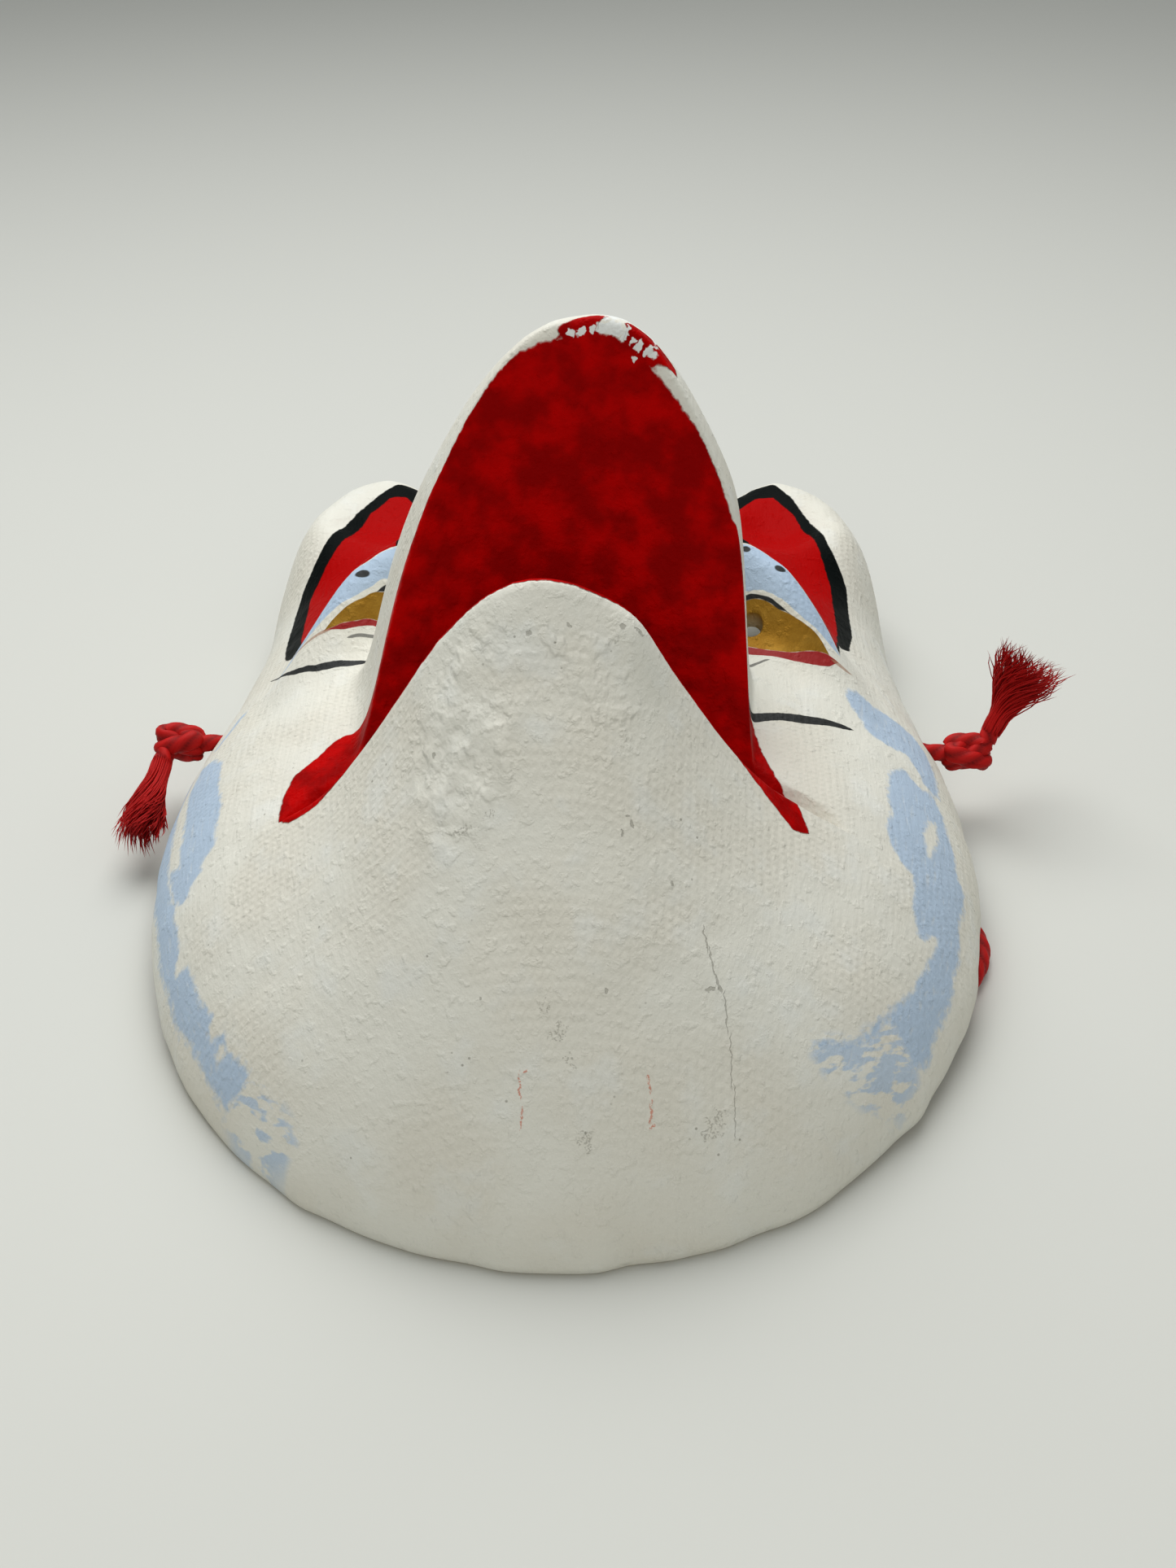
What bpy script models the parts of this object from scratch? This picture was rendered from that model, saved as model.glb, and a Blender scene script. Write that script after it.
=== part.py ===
"""Fox mask of layered paper, lying face up, with its twisted head cord.

Lengths are in metres. The mask lies in the XY plane with its chin at -Y and its ears
at +Y, and its face looks up along +Z. Plan places are measured from the chin's rim,
on the mask's middle line, and the whole is moved at the end so that the origin is
below the middle of the mask, on the surface it lies on.
"""

import bpy
import numpy as np
from mathutils import Vector

# The shell: overall plan, wall and rim
HALF_WIDTH = 0.085
CHIN_TO_WIDEST = 0.095
WALL = 0.0032
RIM_EDGE = 0.0022
RIM_LIFT = 0.0065
RIM_LIFT_STARTS_LEFT = 0.020
RIM_LIFT_STARTS_RIGHT = 0.006
RIM_LIFT_ENDS = 0.180

# The upper half of the outline, from the widest place over an ear to the notch: each
# place is a share of the half width and a distance from the chin
UPPER_OUTLINE = [
    (1.002, 0.1150),
    (0.979, 0.1320),
    (0.947, 0.1490),
    (0.920, 0.1660),
    (0.888, 0.1830),
    (0.865, 0.1990),
    (0.812, 0.2150),
    (0.706, 0.2295),
    (0.559, 0.2350),
    (0.424, 0.2280),
    (0.300, 0.2140),
    (0.159, 0.2045),
    (0.0, 0.2020),
]

# The dome that the face is raised on
DOME_HEIGHT = 0.050
DOME_REACH = 0.070
DOME_BULGE = 2.2
DOME_SHOULDER = 0.68

# The ears: flat red faces with steep sides
EAR_FACE_HEIGHT = 0.0385
EAR_TIP_DROP = 0.0030
EAR_DISH = 0.0050
EAR_DISH_CENTRE = (0.0475, 0.196)
EAR_DISH_HALF_SIZE = (0.0190, 0.0370)
EAR_REACH = 0.014
EAR_RIM_RISE = 0.021
EAR_STARTS = (0.160, 0.206)
EAR_RIM_STARTS = (0.182, 0.228)
EAR_INNER_SIDE = (0.008, 0.032)

# The open mouth: lower jaw, palate and snout
LIP_LINE = 0.075
JAW_RISE = 0.0458
JAW_LEAN = -0.0025
JAW_HALF_WIDTH = 0.031
JAW_ROUNDNESS = 2.5
JAW_SWEEP = 1.75
JAW_INNER_SLOPE = 3.1
MOUTH_HALF_WIDTH = 0.050
MOUTH_LEAN = -0.0037
MOUTH_CORNER_BLEND = 0.8
MOUTH_CORNER_HEIGHT = 0.040
PALATE_RISE = 0.0868
PALATE_RUN = 0.041
PALATE_CURVE = 0.6
SNOUT_RISE = MOUTH_CORNER_HEIGHT + PALATE_RISE - DOME_HEIGHT
SNOUT_LEAN = 0.0048
SNOUT_LEFT = (0.0390, 2.4, 0.0424, 14, 0.0024)
SNOUT_RIGHT = (0.0350, 2.4, 0.0306, 28, 0.0006)
SNOUT_BULGE_PLACE = 0.119
SNOUT_BULGE_LENGTH = 0.010
SNOUT_NARROWING = 0.22
SNOUT_NARROWS = (0.118, 0.142)
BRIDGE_LENGTH = 0.046
BRIDGE_FALL = 1.9
SNOUT_CLEAR_OF_RIM = 0.030
LIP_ROUNDING = 0.0030
NOSE_ROUNDING = 0.0080
NOSE_HALF_WIDTH = 0.012
GROOVE_ROUNDING = 0.0060
LEAST_ROUNDING = 1e-6

# The brows and the eyes
BROW_RISE = 0.0140
BROW_FRONT_WIDTH = 0.0125
BROW_BACK_WIDTH = 0.0100
BROW_INNER = (0.035, 0.153)
BROW_OUTER = (0.056, 0.138)
BROW_STARTS = (0.014, 0.034)
BROW_ENDS = (0.044, 0.067)
EYE_PLACE = (0.0380, 0.1355)
PUPIL_DIAMETER = 0.0050
PUPIL_CUT_DEPTH = 0.050

# The cord, its holes in the sides, its knots and its frayed ends
CORD_DIAMETER = 0.0040
CORD_HOLE_DIAMETER = 0.0056
CORD_HOLE_PLACE = 0.1385
CORD_HOLE_HEIGHT = 0.0150
CORD_HOLE_CUT_DEPTH = 0.024
KNOT_LENGTH = 0.0115
KNOT_DIAMETER = 0.0100
TASSEL_DIAMETER = 0.0125
TAIL_LEAVES_KNOT = 0.7
LEFT_TAIL = (-0.0030, -0.0250, -0.0040)
RIGHT_TAIL = (0.0080, 0.0125, 0.0165)
TOUCH_GAP = 0.0003

# Profiles from end to end: share of the length, then share of the half diameter
KNOT_PROFILE = [
    (0.0, 0.0),
    (0.0, 0.55),
    (0.15, 0.88),
    (0.4, 1.0),
    (0.6, 1.0),
    (0.85, 0.88),
    (1.0, 0.55),
    (1.0, 0.0),
]
NECK_SHARE = CORD_DIAMETER / TASSEL_DIAMETER
TASSEL_PROFILE = [
    (0.0, 0.0),
    (0.0, NECK_SHARE),
    (0.18, NECK_SHARE),
    (0.5, 0.6),
    (0.9, 1.0),
    (1.0, 0.85),
    (1.0, 0.0),
]
KNOT_SIDES = 14
TASSEL_SIDES = 10
HOLE_SIDES = 20

# The cord's route from the right hole to the left one, in the mask's own frame
CORD_ROUTE = [
    (0.0812, 0.0210, 0.0150),
    (0.0740, 0.0210, 0.0150),
    (0.0676, 0.0180, 0.0125),
    (0.0636, 0.0090, 0.0062),
    (0.0680, -0.0050, 0.0024),
    (0.0795, -0.0170, 0.0023),
    (0.0853, -0.0300, 0.0023),
    (0.0800, -0.0440, 0.0023),
    (0.0640, -0.0600, 0.0023),
    (0.0400, -0.0760, 0.0023),
    (0.0100, -0.0830, 0.0023),
    (-0.0200, -0.0800, 0.0023),
    (-0.0460, -0.0660, 0.0023),
    (-0.0600, -0.0420, 0.0023),
    (-0.0520, -0.0180, 0.0023),
    (-0.0280, -0.0100, 0.0023),
    (-0.0020, -0.0170, 0.0023),
    (0.0230, -0.0150, 0.0023),
    (0.0360, 0.0040, 0.0023),
    (0.0280, 0.0260, 0.0023),
    (0.0050, 0.0400, 0.0023),
    (-0.0220, 0.0440, 0.0023),
    (-0.0460, 0.0400, 0.0026),
    (-0.0610, 0.0300, 0.0065),
    (-0.0676, 0.0232, 0.0126),
    (-0.0740, 0.0210, 0.0150),
    (-0.0812, 0.0210, 0.0150),
]
CORD_STEP = 0.0072

# How finely the shell is cut into faces; each count is even
COLUMNS = 52
CHIN_ROWS = 12
JAW_WALL_ROWS = 4
PALATE_ROWS = 8
FACE_ROWS = 26
OUTLINE_STEPS = 60
CURVE_STEPS = 8
FAN_STARTS = 0.062
FAN_CORNER = 0.074
FAN_ENDS = 0.092
FAN_LENGTH = 0.028
EAR_ROW_STARTS = 0.170
LEAST_ROW_GAP = 0.0006
FACE_ROW_SPREAD = 1.12
LIP_PLACES = 801
SETTLING_STEPS = 30
DRAWING_IN_STEPS = 24
DRAWN_IN_REACH = 4
LINING_RINGS = (0.4, 0.7, 0.9, 1.0)
LINING_DIRECTIONS = 10
SHARP_EDGE_DEGREES = 50

# Plain finishes of the solids: colour and roughness
PAPER_COLOUR = (0.78, 0.77, 0.71)
PAPER_ROUGHNESS = 0.6
CORD_COLOUR = (0.45, 0.01, 0.01)
CORD_ROUGHNESS = 0.7

LENGTH = max(place[1] for place in UPPER_OUTLINE)
MIDDLE = LENGTH / 2

for thing in list(bpy.data.objects):
    bpy.data.objects.remove(thing, do_unlink=True)


def material(name, colour, roughness):
    """A plain coloured material."""
    made = bpy.data.materials.new(name)
    made.use_nodes = True
    shader = made.node_tree.nodes["Principled BSDF"]
    shader.inputs["Base Color"].default_value = (*colour, 1)
    shader.inputs["Roughness"].default_value = roughness
    return made


def add_mesh(name, points, faces, finish):
    """A named object with smooth faces from points in metres."""
    mesh = bpy.data.meshes.new(name)
    mesh.from_pydata([tuple(map(float, p)) for p in points], [], faces)
    mesh.validate()
    mesh.shade_smooth()
    mesh.set_sharp_from_angle(angle=np.radians(SHARP_EDGE_DEGREES))
    made = bpy.data.objects.new(name, mesh)
    made.data.materials.append(finish)
    bpy.context.collection.objects.link(made)
    return made


def ease(value, start, end):
    """0 before start, 1 after end, and a smooth S between."""
    part = np.clip((value - start) / (end - start), 0, 1)
    return part * part * (3 - 2 * part)


def soft_max(a, b, radius):
    """The higher of two surfaces, with the valley between them rounded."""
    share = np.clip(0.5 + 0.5 * (a - b) / radius, 0, 1)
    return b + (a - b) * share + radius * share * (1 - share)


def soft_min(a, b, radius):
    """The lower of two surfaces, with the edge between them rounded."""
    return -soft_max(-a, -b, radius)


def smooth_curve(points, steps):
    """Points on a Catmull-Rom curve through the given points, its ends included."""
    knots = np.asarray(points, float)
    first = 2 * knots[0] - knots[1]
    last = 2 * knots[-1] - knots[-2]
    knots = np.vstack([first, knots, last])
    part = np.linspace(0, 1, steps, endpoint=False)[:, None]
    pieces = []
    for before, start, end, after in zip(knots, knots[1:], knots[2:], knots[3:]):
        bend = 2 * before - 5 * start + 4 * end - after
        twist = 3 * (start - end) + after - before
        pieces.append(start + 0.5 * part * (end - before + part * (bend + part * twist)))
    pieces.append(knots[-2:-1])
    return np.vstack(pieces)


def evenly(points, count):
    """The given number of points, the same distance apart along a line of points."""
    steps = np.linalg.norm(np.diff(points, axis=0), axis=1)
    along = np.concatenate([[0], np.cumsum(steps)])
    places = np.linspace(0, along[-1], count)
    return np.stack([np.interp(places, along, column) for column in points.T], axis=1)


def half_outline():
    """The right half of the plan outline, from the chin to the notch between the ears.

    Up to the widest place it is a quarter of an ellipse, and from there a smooth curve
    through the chosen points.
    """
    turn = np.linspace(0, np.pi / 2, OUTLINE_STEPS)[:-1]
    lower = np.stack([HALF_WIDTH * np.sin(turn), CHIN_TO_WIDEST * (1 - np.cos(turn))], axis=1)
    chosen = [lower[-6], (HALF_WIDTH, CHIN_TO_WIDEST)]
    chosen += [(HALF_WIDTH * share, y) for share, y in UPPER_OUTLINE]
    upper = smooth_curve(chosen, CURVE_STEPS)[CURVE_STEPS:]
    return np.vstack([lower, upper])


OUTLINE = half_outline()
MIRRORED = OUTLINE[-2:0:-1] * (-1, 1)
LOOP = np.vstack([OUTLINE, MIRRORED])
RIGHT_SIDE = OUTLINE[: int(np.argmax(OUTLINE[:, 1]))]


def rim_distance(x, y):
    """How far a plan place lies inside the outline; 0 on it and outside it."""
    place = np.stack([np.ravel(x), np.ravel(y)], axis=1)
    start = LOOP
    run = np.roll(LOOP, -1, axis=0) - LOOP
    away = place[:, None, :] - start[None, :, :]
    share = np.clip((away * run).sum(2) / (run * run).sum(1), 0, 1)
    gap = away - share[:, :, None] * run
    nearest = np.sqrt((gap * gap).sum(2).min(1))
    below = start[:, 1] > place[:, 1:]
    crosses = below != np.roll(below, -1, axis=1)
    with np.errstate(divide="ignore", invalid="ignore"):
        reach = start[:, 0] + run[:, 0] * (place[:, 1:] - start[:, 1]) / run[:, 1]
    inside = (crosses & (place[:, :1] < reach)).sum(1) % 2 == 1
    return np.where(inside, nearest, 0).reshape(np.shape(x))


def side(y):
    """Half the plan width at a distance from the chin, below the ears' tips."""
    return np.interp(y, RIGHT_SIDE[:, 1], RIGHT_SIDE[:, 0])


def rim_height(x, y):
    """The underside of the rim: on the table at chin and notch, lifted at the sides and ears."""
    starts = np.where(x > 0, RIM_LIFT_STARTS_RIGHT, RIM_LIFT_STARTS_LEFT)
    share = np.clip((y - starts) / (RIM_LIFT_ENDS - starts), 0, 1)
    lifted = RIM_LIFT * np.sin(np.pi * share) ** 2
    inward = ease(np.abs(x), *EAR_INNER_SIDE)
    return lifted + EAR_RIM_RISE * ease(y, *EAR_RIM_STARTS) * inward


def ear_dish(x, y):
    """How deep the ear's face is dished: a long smooth hollow inside its raised edge."""
    across = (np.abs(x) - EAR_DISH_CENTRE[0]) / EAR_DISH_HALF_SIZE[0]
    along = (y - EAR_DISH_CENTRE[1]) / EAR_DISH_HALF_SIZE[1]
    return EAR_DISH * (1 - np.clip(across**2 + along**2, 0, 1)) ** 2


def palate_height(y):
    """The palate's slope seen from the side: a rising curve, steepest at the nose."""
    forward = np.clip((y - LIP_LINE) / PALATE_RUN, 0, 1.3)
    rising = MOUTH_CORNER_HEIGHT + PALATE_RISE * forward ** (1 / PALATE_CURVE)
    return rising - JAW_INNER_SLOPE * np.clip(LIP_LINE - y, 0, None)


def snout_rise(x, y, inwards):
    """How far the snout stands over the dome: a bell across, falling along the bridge."""
    away = x - SNOUT_LEAN
    behind_lip = np.exp(-(((y - SNOUT_BULGE_PLACE) / SNOUT_BULGE_LENGTH) ** 2))
    spread = 1 - SNOUT_NARROWING * ease(y, *SNOUT_NARROWS)
    total = 0
    for distance, flank in ((-away, SNOUT_LEFT), (away, SNOUT_RIGHT)):
        width, roundness, wall, steepness, bulge = flank
        beside = np.clip(distance, 0, None)
        total = total + (beside / (width * spread + bulge * behind_lip)) ** roundness
        total = total + (beside / (wall * spread + bulge * behind_lip)) ** steepness
    back = np.clip(y - LIP_LINE - PALATE_RUN, 0, None) / BRIDGE_LENGTH
    falling = SNOUT_RISE / (1 + back**BRIDGE_FALL)
    return falling * np.exp(-total) * np.clip(inwards / SNOUT_CLEAR_OF_RIM, 0, 1)


def jaw_rise(x, y):
    """How far the lower jaw stands over the dome, up to its lip."""
    across = np.abs(x - JAW_LEAN) / JAW_HALF_WIDTH
    along = np.clip(y / LIP_LINE, 0, None) ** JAW_SWEEP
    return JAW_RISE * along * np.exp(-(across**JAW_ROUNDNESS))


def brow_rise(x, y):
    """The raised brow over each eye, running outwards and down the face."""
    out = np.abs(x)
    slope = (BROW_OUTER[1] - BROW_INNER[1]) / (BROW_OUTER[0] - BROW_INNER[0])
    crest = BROW_INNER[1] + slope * (out - BROW_INNER[0])
    length = ease(out, *BROW_STARTS) * (1 - ease(out, *BROW_ENDS))
    width = np.where(y < crest, BROW_FRONT_WIDTH, BROW_BACK_WIDTH)
    return BROW_RISE * length * np.exp(-(((y - crest) / width) ** 2))


def face_height(x, y, inwards):
    """Height of the domed face with its ears and brows, without jaw, mouth or snout."""
    foot = rim_height(x, y) + RIM_EDGE
    ear = ease(y, *EAR_STARTS) * ease(np.abs(x), *EAR_INNER_SIDE)
    reach = DOME_REACH + (EAR_REACH - DOME_REACH) * ear
    ear_top = EAR_FACE_HEIGHT - EAR_TIP_DROP * ease(y, EAR_STARTS[0], LENGTH)
    ceiling = DOME_HEIGHT + (ear_top - DOME_HEIGHT) * ear
    part = np.clip(inwards / reach, 0, 1)
    rise = (1 - (1 - part) ** DOME_BULGE) ** DOME_SHOULDER
    return foot + (ceiling - foot) * rise + brow_rise(x, y) - ear_dish(x, y)


def skin_height(x, y):
    """Height of the mask's outer skin over a plan place."""
    inwards = rim_distance(x, y)
    face = face_height(x, y, inwards)
    corner = MOUTH_CORNER_BLEND * MOUTH_HALF_WIDTH
    in_mouth = 1 - ease(np.abs(x - MOUTH_LEAN), corner, MOUTH_HALF_WIDTH)
    chin = face + jaw_rise(x, y)
    jaw_wall = face + jaw_rise(x, LIP_LINE) - JAW_INNER_SLOPE * (y - LIP_LINE)
    lower = soft_min(chin, jaw_wall, LIP_ROUNDING * in_mouth + LEAST_ROUNDING)
    nose = np.exp(-(((x - SNOUT_LEAN) / NOSE_HALF_WIDTH) ** 2))
    edge = LIP_ROUNDING + (NOSE_ROUNDING - LIP_ROUNDING) * nose
    snout = face + snout_rise(x, y, inwards)
    upper = soft_min(snout, palate_height(y), edge * in_mouth + LEAST_ROUNDING)
    return soft_max(lower, upper, GROOVE_ROUNDING * in_mouth + LEAST_ROUNDING)


def lining_height(x, y):
    """The inner skin: the outer skin lowered by a ball of the wall's thickness.

    Each place takes the lowest of the ball's own depths under the outer skin around it.
    """
    lowest = skin_height(x, y) - WALL
    for share in LINING_RINGS:
        radius = WALL * share
        depth = WALL * np.sqrt(1 - share**2)
        for turn in np.linspace(0, 2 * np.pi, LINING_DIRECTIONS, endpoint=False):
            beside = skin_height(x + radius * np.cos(turn), y + radius * np.sin(turn))
            lowest = np.minimum(lowest, beside - depth)
    return lowest


def lip_rows():
    """Plan rows that follow the lower lip, the groove and the upper lip, and fan to the rim."""
    x = np.linspace(-1, 1, LIP_PLACES) * side(FAN_ENDS)
    y = np.full_like(x, LIP_LINE)
    for _ in range(SETTLING_STEPS):
        inwards = rim_distance(x, y)
        height = face_height(x, y, inwards) + snout_rise(x, y, inwards)
        forward = np.clip((height - MOUTH_CORNER_HEIGHT) / PALATE_RISE, 0, 1)
        y = 0.5 * y + 0.5 * (LIP_LINE + PALATE_RUN * forward**PALATE_CURVE)
    out = np.clip((np.abs(x - MOUTH_LEAN) - MOUTH_HALF_WIDTH) / FAN_LENGTH, 0, 1)
    lower = LIP_LINE + (FAN_CORNER - LIP_LINE) * out
    upper = np.maximum(y * (1 - out) + FAN_ENDS * out, lower + 2 * LEAST_ROW_GAP)
    low, high = lower.copy(), upper.copy()
    for _ in range(SETTLING_STEPS):
        middle = (low + high) / 2
        wall = jaw_rise(x, LIP_LINE) - JAW_INNER_SLOPE * (middle - LIP_LINE)
        face = face_height(x, middle, rim_distance(x, middle))
        above = face + wall > palate_height(middle)
        low = np.where(above, middle, low)
        high = np.where(above, high, middle)
    groove = lower + (upper - lower) * 0.5 * out + (low - lower) * (1 - out)
    groove = np.clip(groove, lower + LEAST_ROW_GAP, upper - LEAST_ROW_GAP)
    arch = np.stack([x, upper, skin_height(x, upper)], axis=1)
    chosen = evenly(arch, COLUMNS + 1)[:, 0]
    rows = []
    for line in (lower, groove, upper):
        y_row = np.interp(chosen, x, line)
        rows.append(np.stack([chosen * side(y_row[0]) / side(FAN_ENDS), y_row], axis=1))
    return rows


def both_sides(right):
    """Evenly spaced plan points along a right-hand line and its mirror image, left to right."""
    left = right[:0:-1] * (-1, 1)
    return evenly(np.vstack([left, right]), COLUMNS + 1)


def plan_grid():
    """Plan places of the whole shell: rows from the chin to the ears, columns across."""
    lower, groove, upper = lip_rows()
    below = RIGHT_SIDE[RIGHT_SIDE[:, 1] < FAN_STARTS]
    chin = both_sides(np.vstack([below, (side(FAN_STARTS), FAN_STARTS)]))
    beyond = OUTLINE[OUTLINE[:, 1] > EAR_ROW_STARTS]
    ears = both_sides(np.vstack([beyond[::-1], (side(EAR_ROW_STARTS), EAR_ROW_STARTS)]))
    stretches = [
        (chin, lower, np.linspace(0, 1, CHIN_ROWS + 1)),
        (lower, groove, np.linspace(0, 1, JAW_WALL_ROWS + 1)),
        (groove, upper, np.linspace(0, 1, PALATE_ROWS + 1)),
        (upper, ears, np.linspace(0, 1, FACE_ROWS + 1) ** FACE_ROW_SPREAD),
    ]
    rows = [chin]
    for before, after, shares in stretches:
        for share in shares[1:]:
            row = before + (after - before) * share
            if share < 1:
                row[:, 0] *= side(row[0, 1]) / row[-1, 0]
            rows.append(row)
    return np.array(rows)


def border(grid):
    """The grid's outer ring of points, walked once round, anticlockwise from above."""
    return np.vstack([grid[0], grid[1:, -1], grid[-1, -2::-1], grid[-2:0:-1, 0]])


def drawn_in(grid, distance):
    """The grid with its places near the outline moved inwards, by the distance at the rim."""
    reach = DRAWN_IN_REACH * distance
    step = distance / 8
    inwards = rim_distance(grid[..., 0], grid[..., 1])
    moved = grid.copy()
    for _ in range(DRAWING_IN_STEPS):
        x, y = moved[..., 0], moved[..., 1]
        wanted = inwards + distance * np.clip(1 - inwards / reach, 0, 1)
        here = rim_distance(x, y)
        slope_x = rim_distance(x + step, y) - rim_distance(x - step, y)
        slope_y = rim_distance(x, y + step) - rim_distance(x, y - step)
        size = np.maximum(np.hypot(slope_x, slope_y), 1e-9)
        push = np.clip(wanted - here, -distance, distance) * 0.5
        flat = size < step * 0.2
        moved[..., 0] += np.where(flat, -np.sign(x) * step, push * slope_x / size)
        moved[..., 1] += np.where(flat, 0, push * slope_y / size)
    return moved


def grid_faces(rows, columns, first, flipped):
    """Quads of a grid of points numbered row by row."""
    faces = []
    for row in range(rows - 1):
        for column in range(columns - 1):
            corner = first + row * columns + column
            face = (corner, corner + 1, corner + columns + 1, corner + columns)
            faces.append(face[::-1] if flipped else face)
    return faces


def border_numbers(rows, columns, first):
    """Point numbers of a grid's outer ring, in the order that border() walks."""
    numbers = np.arange(rows * columns).reshape(rows, columns) + first
    ring = [numbers[0], numbers[1:, -1], numbers[-1, -2::-1], numbers[-2:0:-1, 0]]
    return np.concatenate(ring).tolist()


def make_shell(finish):
    """The paper shell: outer skin, upright rim edge, level rim foot and inner lining."""
    plan = plan_grid()
    coarse = drawn_in(plan[::2, ::2], WALL)
    outer = np.dstack([plan, skin_height(plan[..., 0], plan[..., 1])])
    inner = np.dstack([coarse, lining_height(coarse[..., 0], coarse[..., 1])])
    foot = border(plan)
    foot = np.column_stack([foot, rim_height(foot[:, 0], foot[:, 1])])
    ring = border_numbers(*coarse.shape[:2], 0)
    flat = inner.reshape(-1, 3)
    flat[ring, 2] = foot[::2, 2]

    rows, columns = plan.shape[:2]
    outer_ring = border_numbers(rows, columns, 0)
    foot_first = rows * columns
    inner_first = foot_first + len(foot)
    faces = grid_faces(rows, columns, 0, False)
    faces += grid_faces(*coarse.shape[:2], inner_first, True)
    count = len(foot)
    for place in range(count):
        after = (place + 1) % count
        faces.append((outer_ring[place], foot_first + place, foot_first + after, outer_ring[after]))
    for place in range(0, count, 2):
        middle = foot_first + place + 1
        end = foot_first + (place + 2) % count
        near = inner_first + ring[place // 2]
        far = inner_first + ring[(place // 2 + 1) % len(ring)]
        faces.append((foot_first + place, near, middle))
        faces.append((middle, near, far))
        faces.append((middle, far, end))
    points = np.vstack([outer.reshape(-1, 3), foot, flat])
    points[:, 1] -= MIDDLE
    return add_mesh("mask_shell", points, faces, finish)


def cut_round_hole(shell, name, centre, direction, diameter, depth):
    """A round hole through the shell, from a hidden cylinder."""
    bpy.ops.mesh.primitive_cylinder_add(vertices=HOLE_SIDES, radius=diameter / 2, depth=depth)
    cutter = bpy.context.active_object
    cutter.name = name
    cutter.rotation_mode = "QUATERNION"
    cutter.rotation_quaternion = Vector(direction).to_track_quat("Z", "Y")
    cutter.location = centre
    cutter.hide_render = True
    cutter.display_type = "WIRE"
    cut = shell.modifiers.new(name, "BOOLEAN")
    cut.object = cutter
    cut.operation = "DIFFERENCE"
    cut.solver = "EXACT"


def turned(name, start, direction, stations, finish, sides):
    """A round piece along a line: (distance, radius) pairs from end to end, closed at both."""
    turn = Vector(direction).to_track_quat("Z", "Y")
    points = [Vector(start) + turn @ Vector((0, 0, stations[0][0]))]
    for distance, radius in stations[1:-1]:
        for number in range(sides):
            angle = 2 * np.pi * number / sides
            ring = Vector((radius * np.cos(angle), radius * np.sin(angle), distance))
            points.append(Vector(start) + turn @ ring)
    points.append(Vector(start) + turn @ Vector((0, 0, stations[-1][0])))
    last = len(points) - 1
    rings = len(stations) - 2
    faces = []
    for number in range(sides):
        after = (number + 1) % sides
        faces.append((0, 1 + after, 1 + number))
        top = 1 + (rings - 1) * sides
        faces.append((last, top + number, top + after))
        for ring in range(rings - 1):
            low = 1 + ring * sides
            faces.append((low + number, low + after, low + sides + after, low + sides + number))
    return add_mesh(name, points, faces, finish)


def make_cord(finish):
    """The twisted head cord, one round tube from hole to hole under the mask."""
    line = smooth_curve(CORD_ROUTE, CURVE_STEPS)
    length = np.linalg.norm(np.diff(line, axis=0), axis=1).sum()
    route = evenly(line, round(length / CORD_STEP))
    curve = bpy.data.curves.new("head_cord", "CURVE")
    curve.dimensions = "3D"
    curve.bevel_depth = CORD_DIAMETER / 2
    curve.bevel_resolution = 2
    curve.use_fill_caps = True
    spline = curve.splines.new("POLY")
    spline.points.add(len(route) - 1)
    for point, place in zip(spline.points, route):
        point.co = (*place, 1)
    made = bpy.data.objects.new("head_cord", curve)
    curve.materials.append(finish)
    bpy.context.collection.objects.link(made)


def make_knot(side_name, end, outwards, tail, finish):
    """The stopper knot outside a cord hole, and the frayed end that leaves it."""
    out = Vector(outwards)
    half = KNOT_DIAMETER / 2
    start = Vector(end) + out * TOUCH_GAP
    stations = [(KNOT_LENGTH * along, half * share) for along, share in KNOT_PROFILE]
    turned(f"{side_name}_knot", start, out, stations, finish, KNOT_SIDES)
    way = Vector(tail)
    brush = TASSEL_DIAMETER / 2
    stations = [(way.length * along, brush * share) for along, share in TASSEL_PROFILE]
    leaves = start + out * KNOT_LENGTH * TAIL_LEAVES_KNOT
    root = leaves + way.normalized() * (half + TOUCH_GAP)
    turned(f"{side_name}_cord_end", root, way, stations, finish, TASSEL_SIDES)


def build():
    """Make every piece of the mask."""
    paper = material("white paper skin", PAPER_COLOUR, PAPER_ROUGHNESS)
    rayon = material("red twisted cord", CORD_COLOUR, CORD_ROUGHNESS)
    shell = make_shell(paper)
    eye_x, eye_y = EYE_PLACE
    for side_name, sign in (("left", -1), ("right", 1)):
        pupil = (sign * eye_x, eye_y - MIDDLE, DOME_HEIGHT)
        upwards = (0, 0, 1)
        cut_round_hole(shell, f"{side_name}_pupil", pupil, upwards, PUPIL_DIAMETER, PUPIL_CUT_DEPTH)
        hole = (sign * side(CORD_HOLE_PLACE), CORD_HOLE_PLACE - MIDDLE, CORD_HOLE_HEIGHT)
        cut_round_hole(
            shell,
            f"{side_name}_cord_hole",
            hole,
            (1, 0, 0),
            CORD_HOLE_DIAMETER,
            CORD_HOLE_CUT_DEPTH,
        )
    make_cord(rayon)
    make_knot("right", CORD_ROUTE[0], (1, 0, 0), RIGHT_TAIL, rayon)
    make_knot("left", CORD_ROUTE[-1], (-1, 0, 0), LEFT_TAIL, rayon)


build()
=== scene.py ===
# %% [markdown]
# # A fox mask of layered paper
#
# The real thing is a hand-made mask: paper and gauze are pasted in layers over a mould,
# coated with shell white, a chalky ground of crushed shell and glue, and painted with
# brushes. It lies face up with its mouth open. A twisted red cord runs through a hole in
# each side and is stopped outside by a knot with a frayed end.
#
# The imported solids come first, because every visible piece rides on them.

import math

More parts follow.
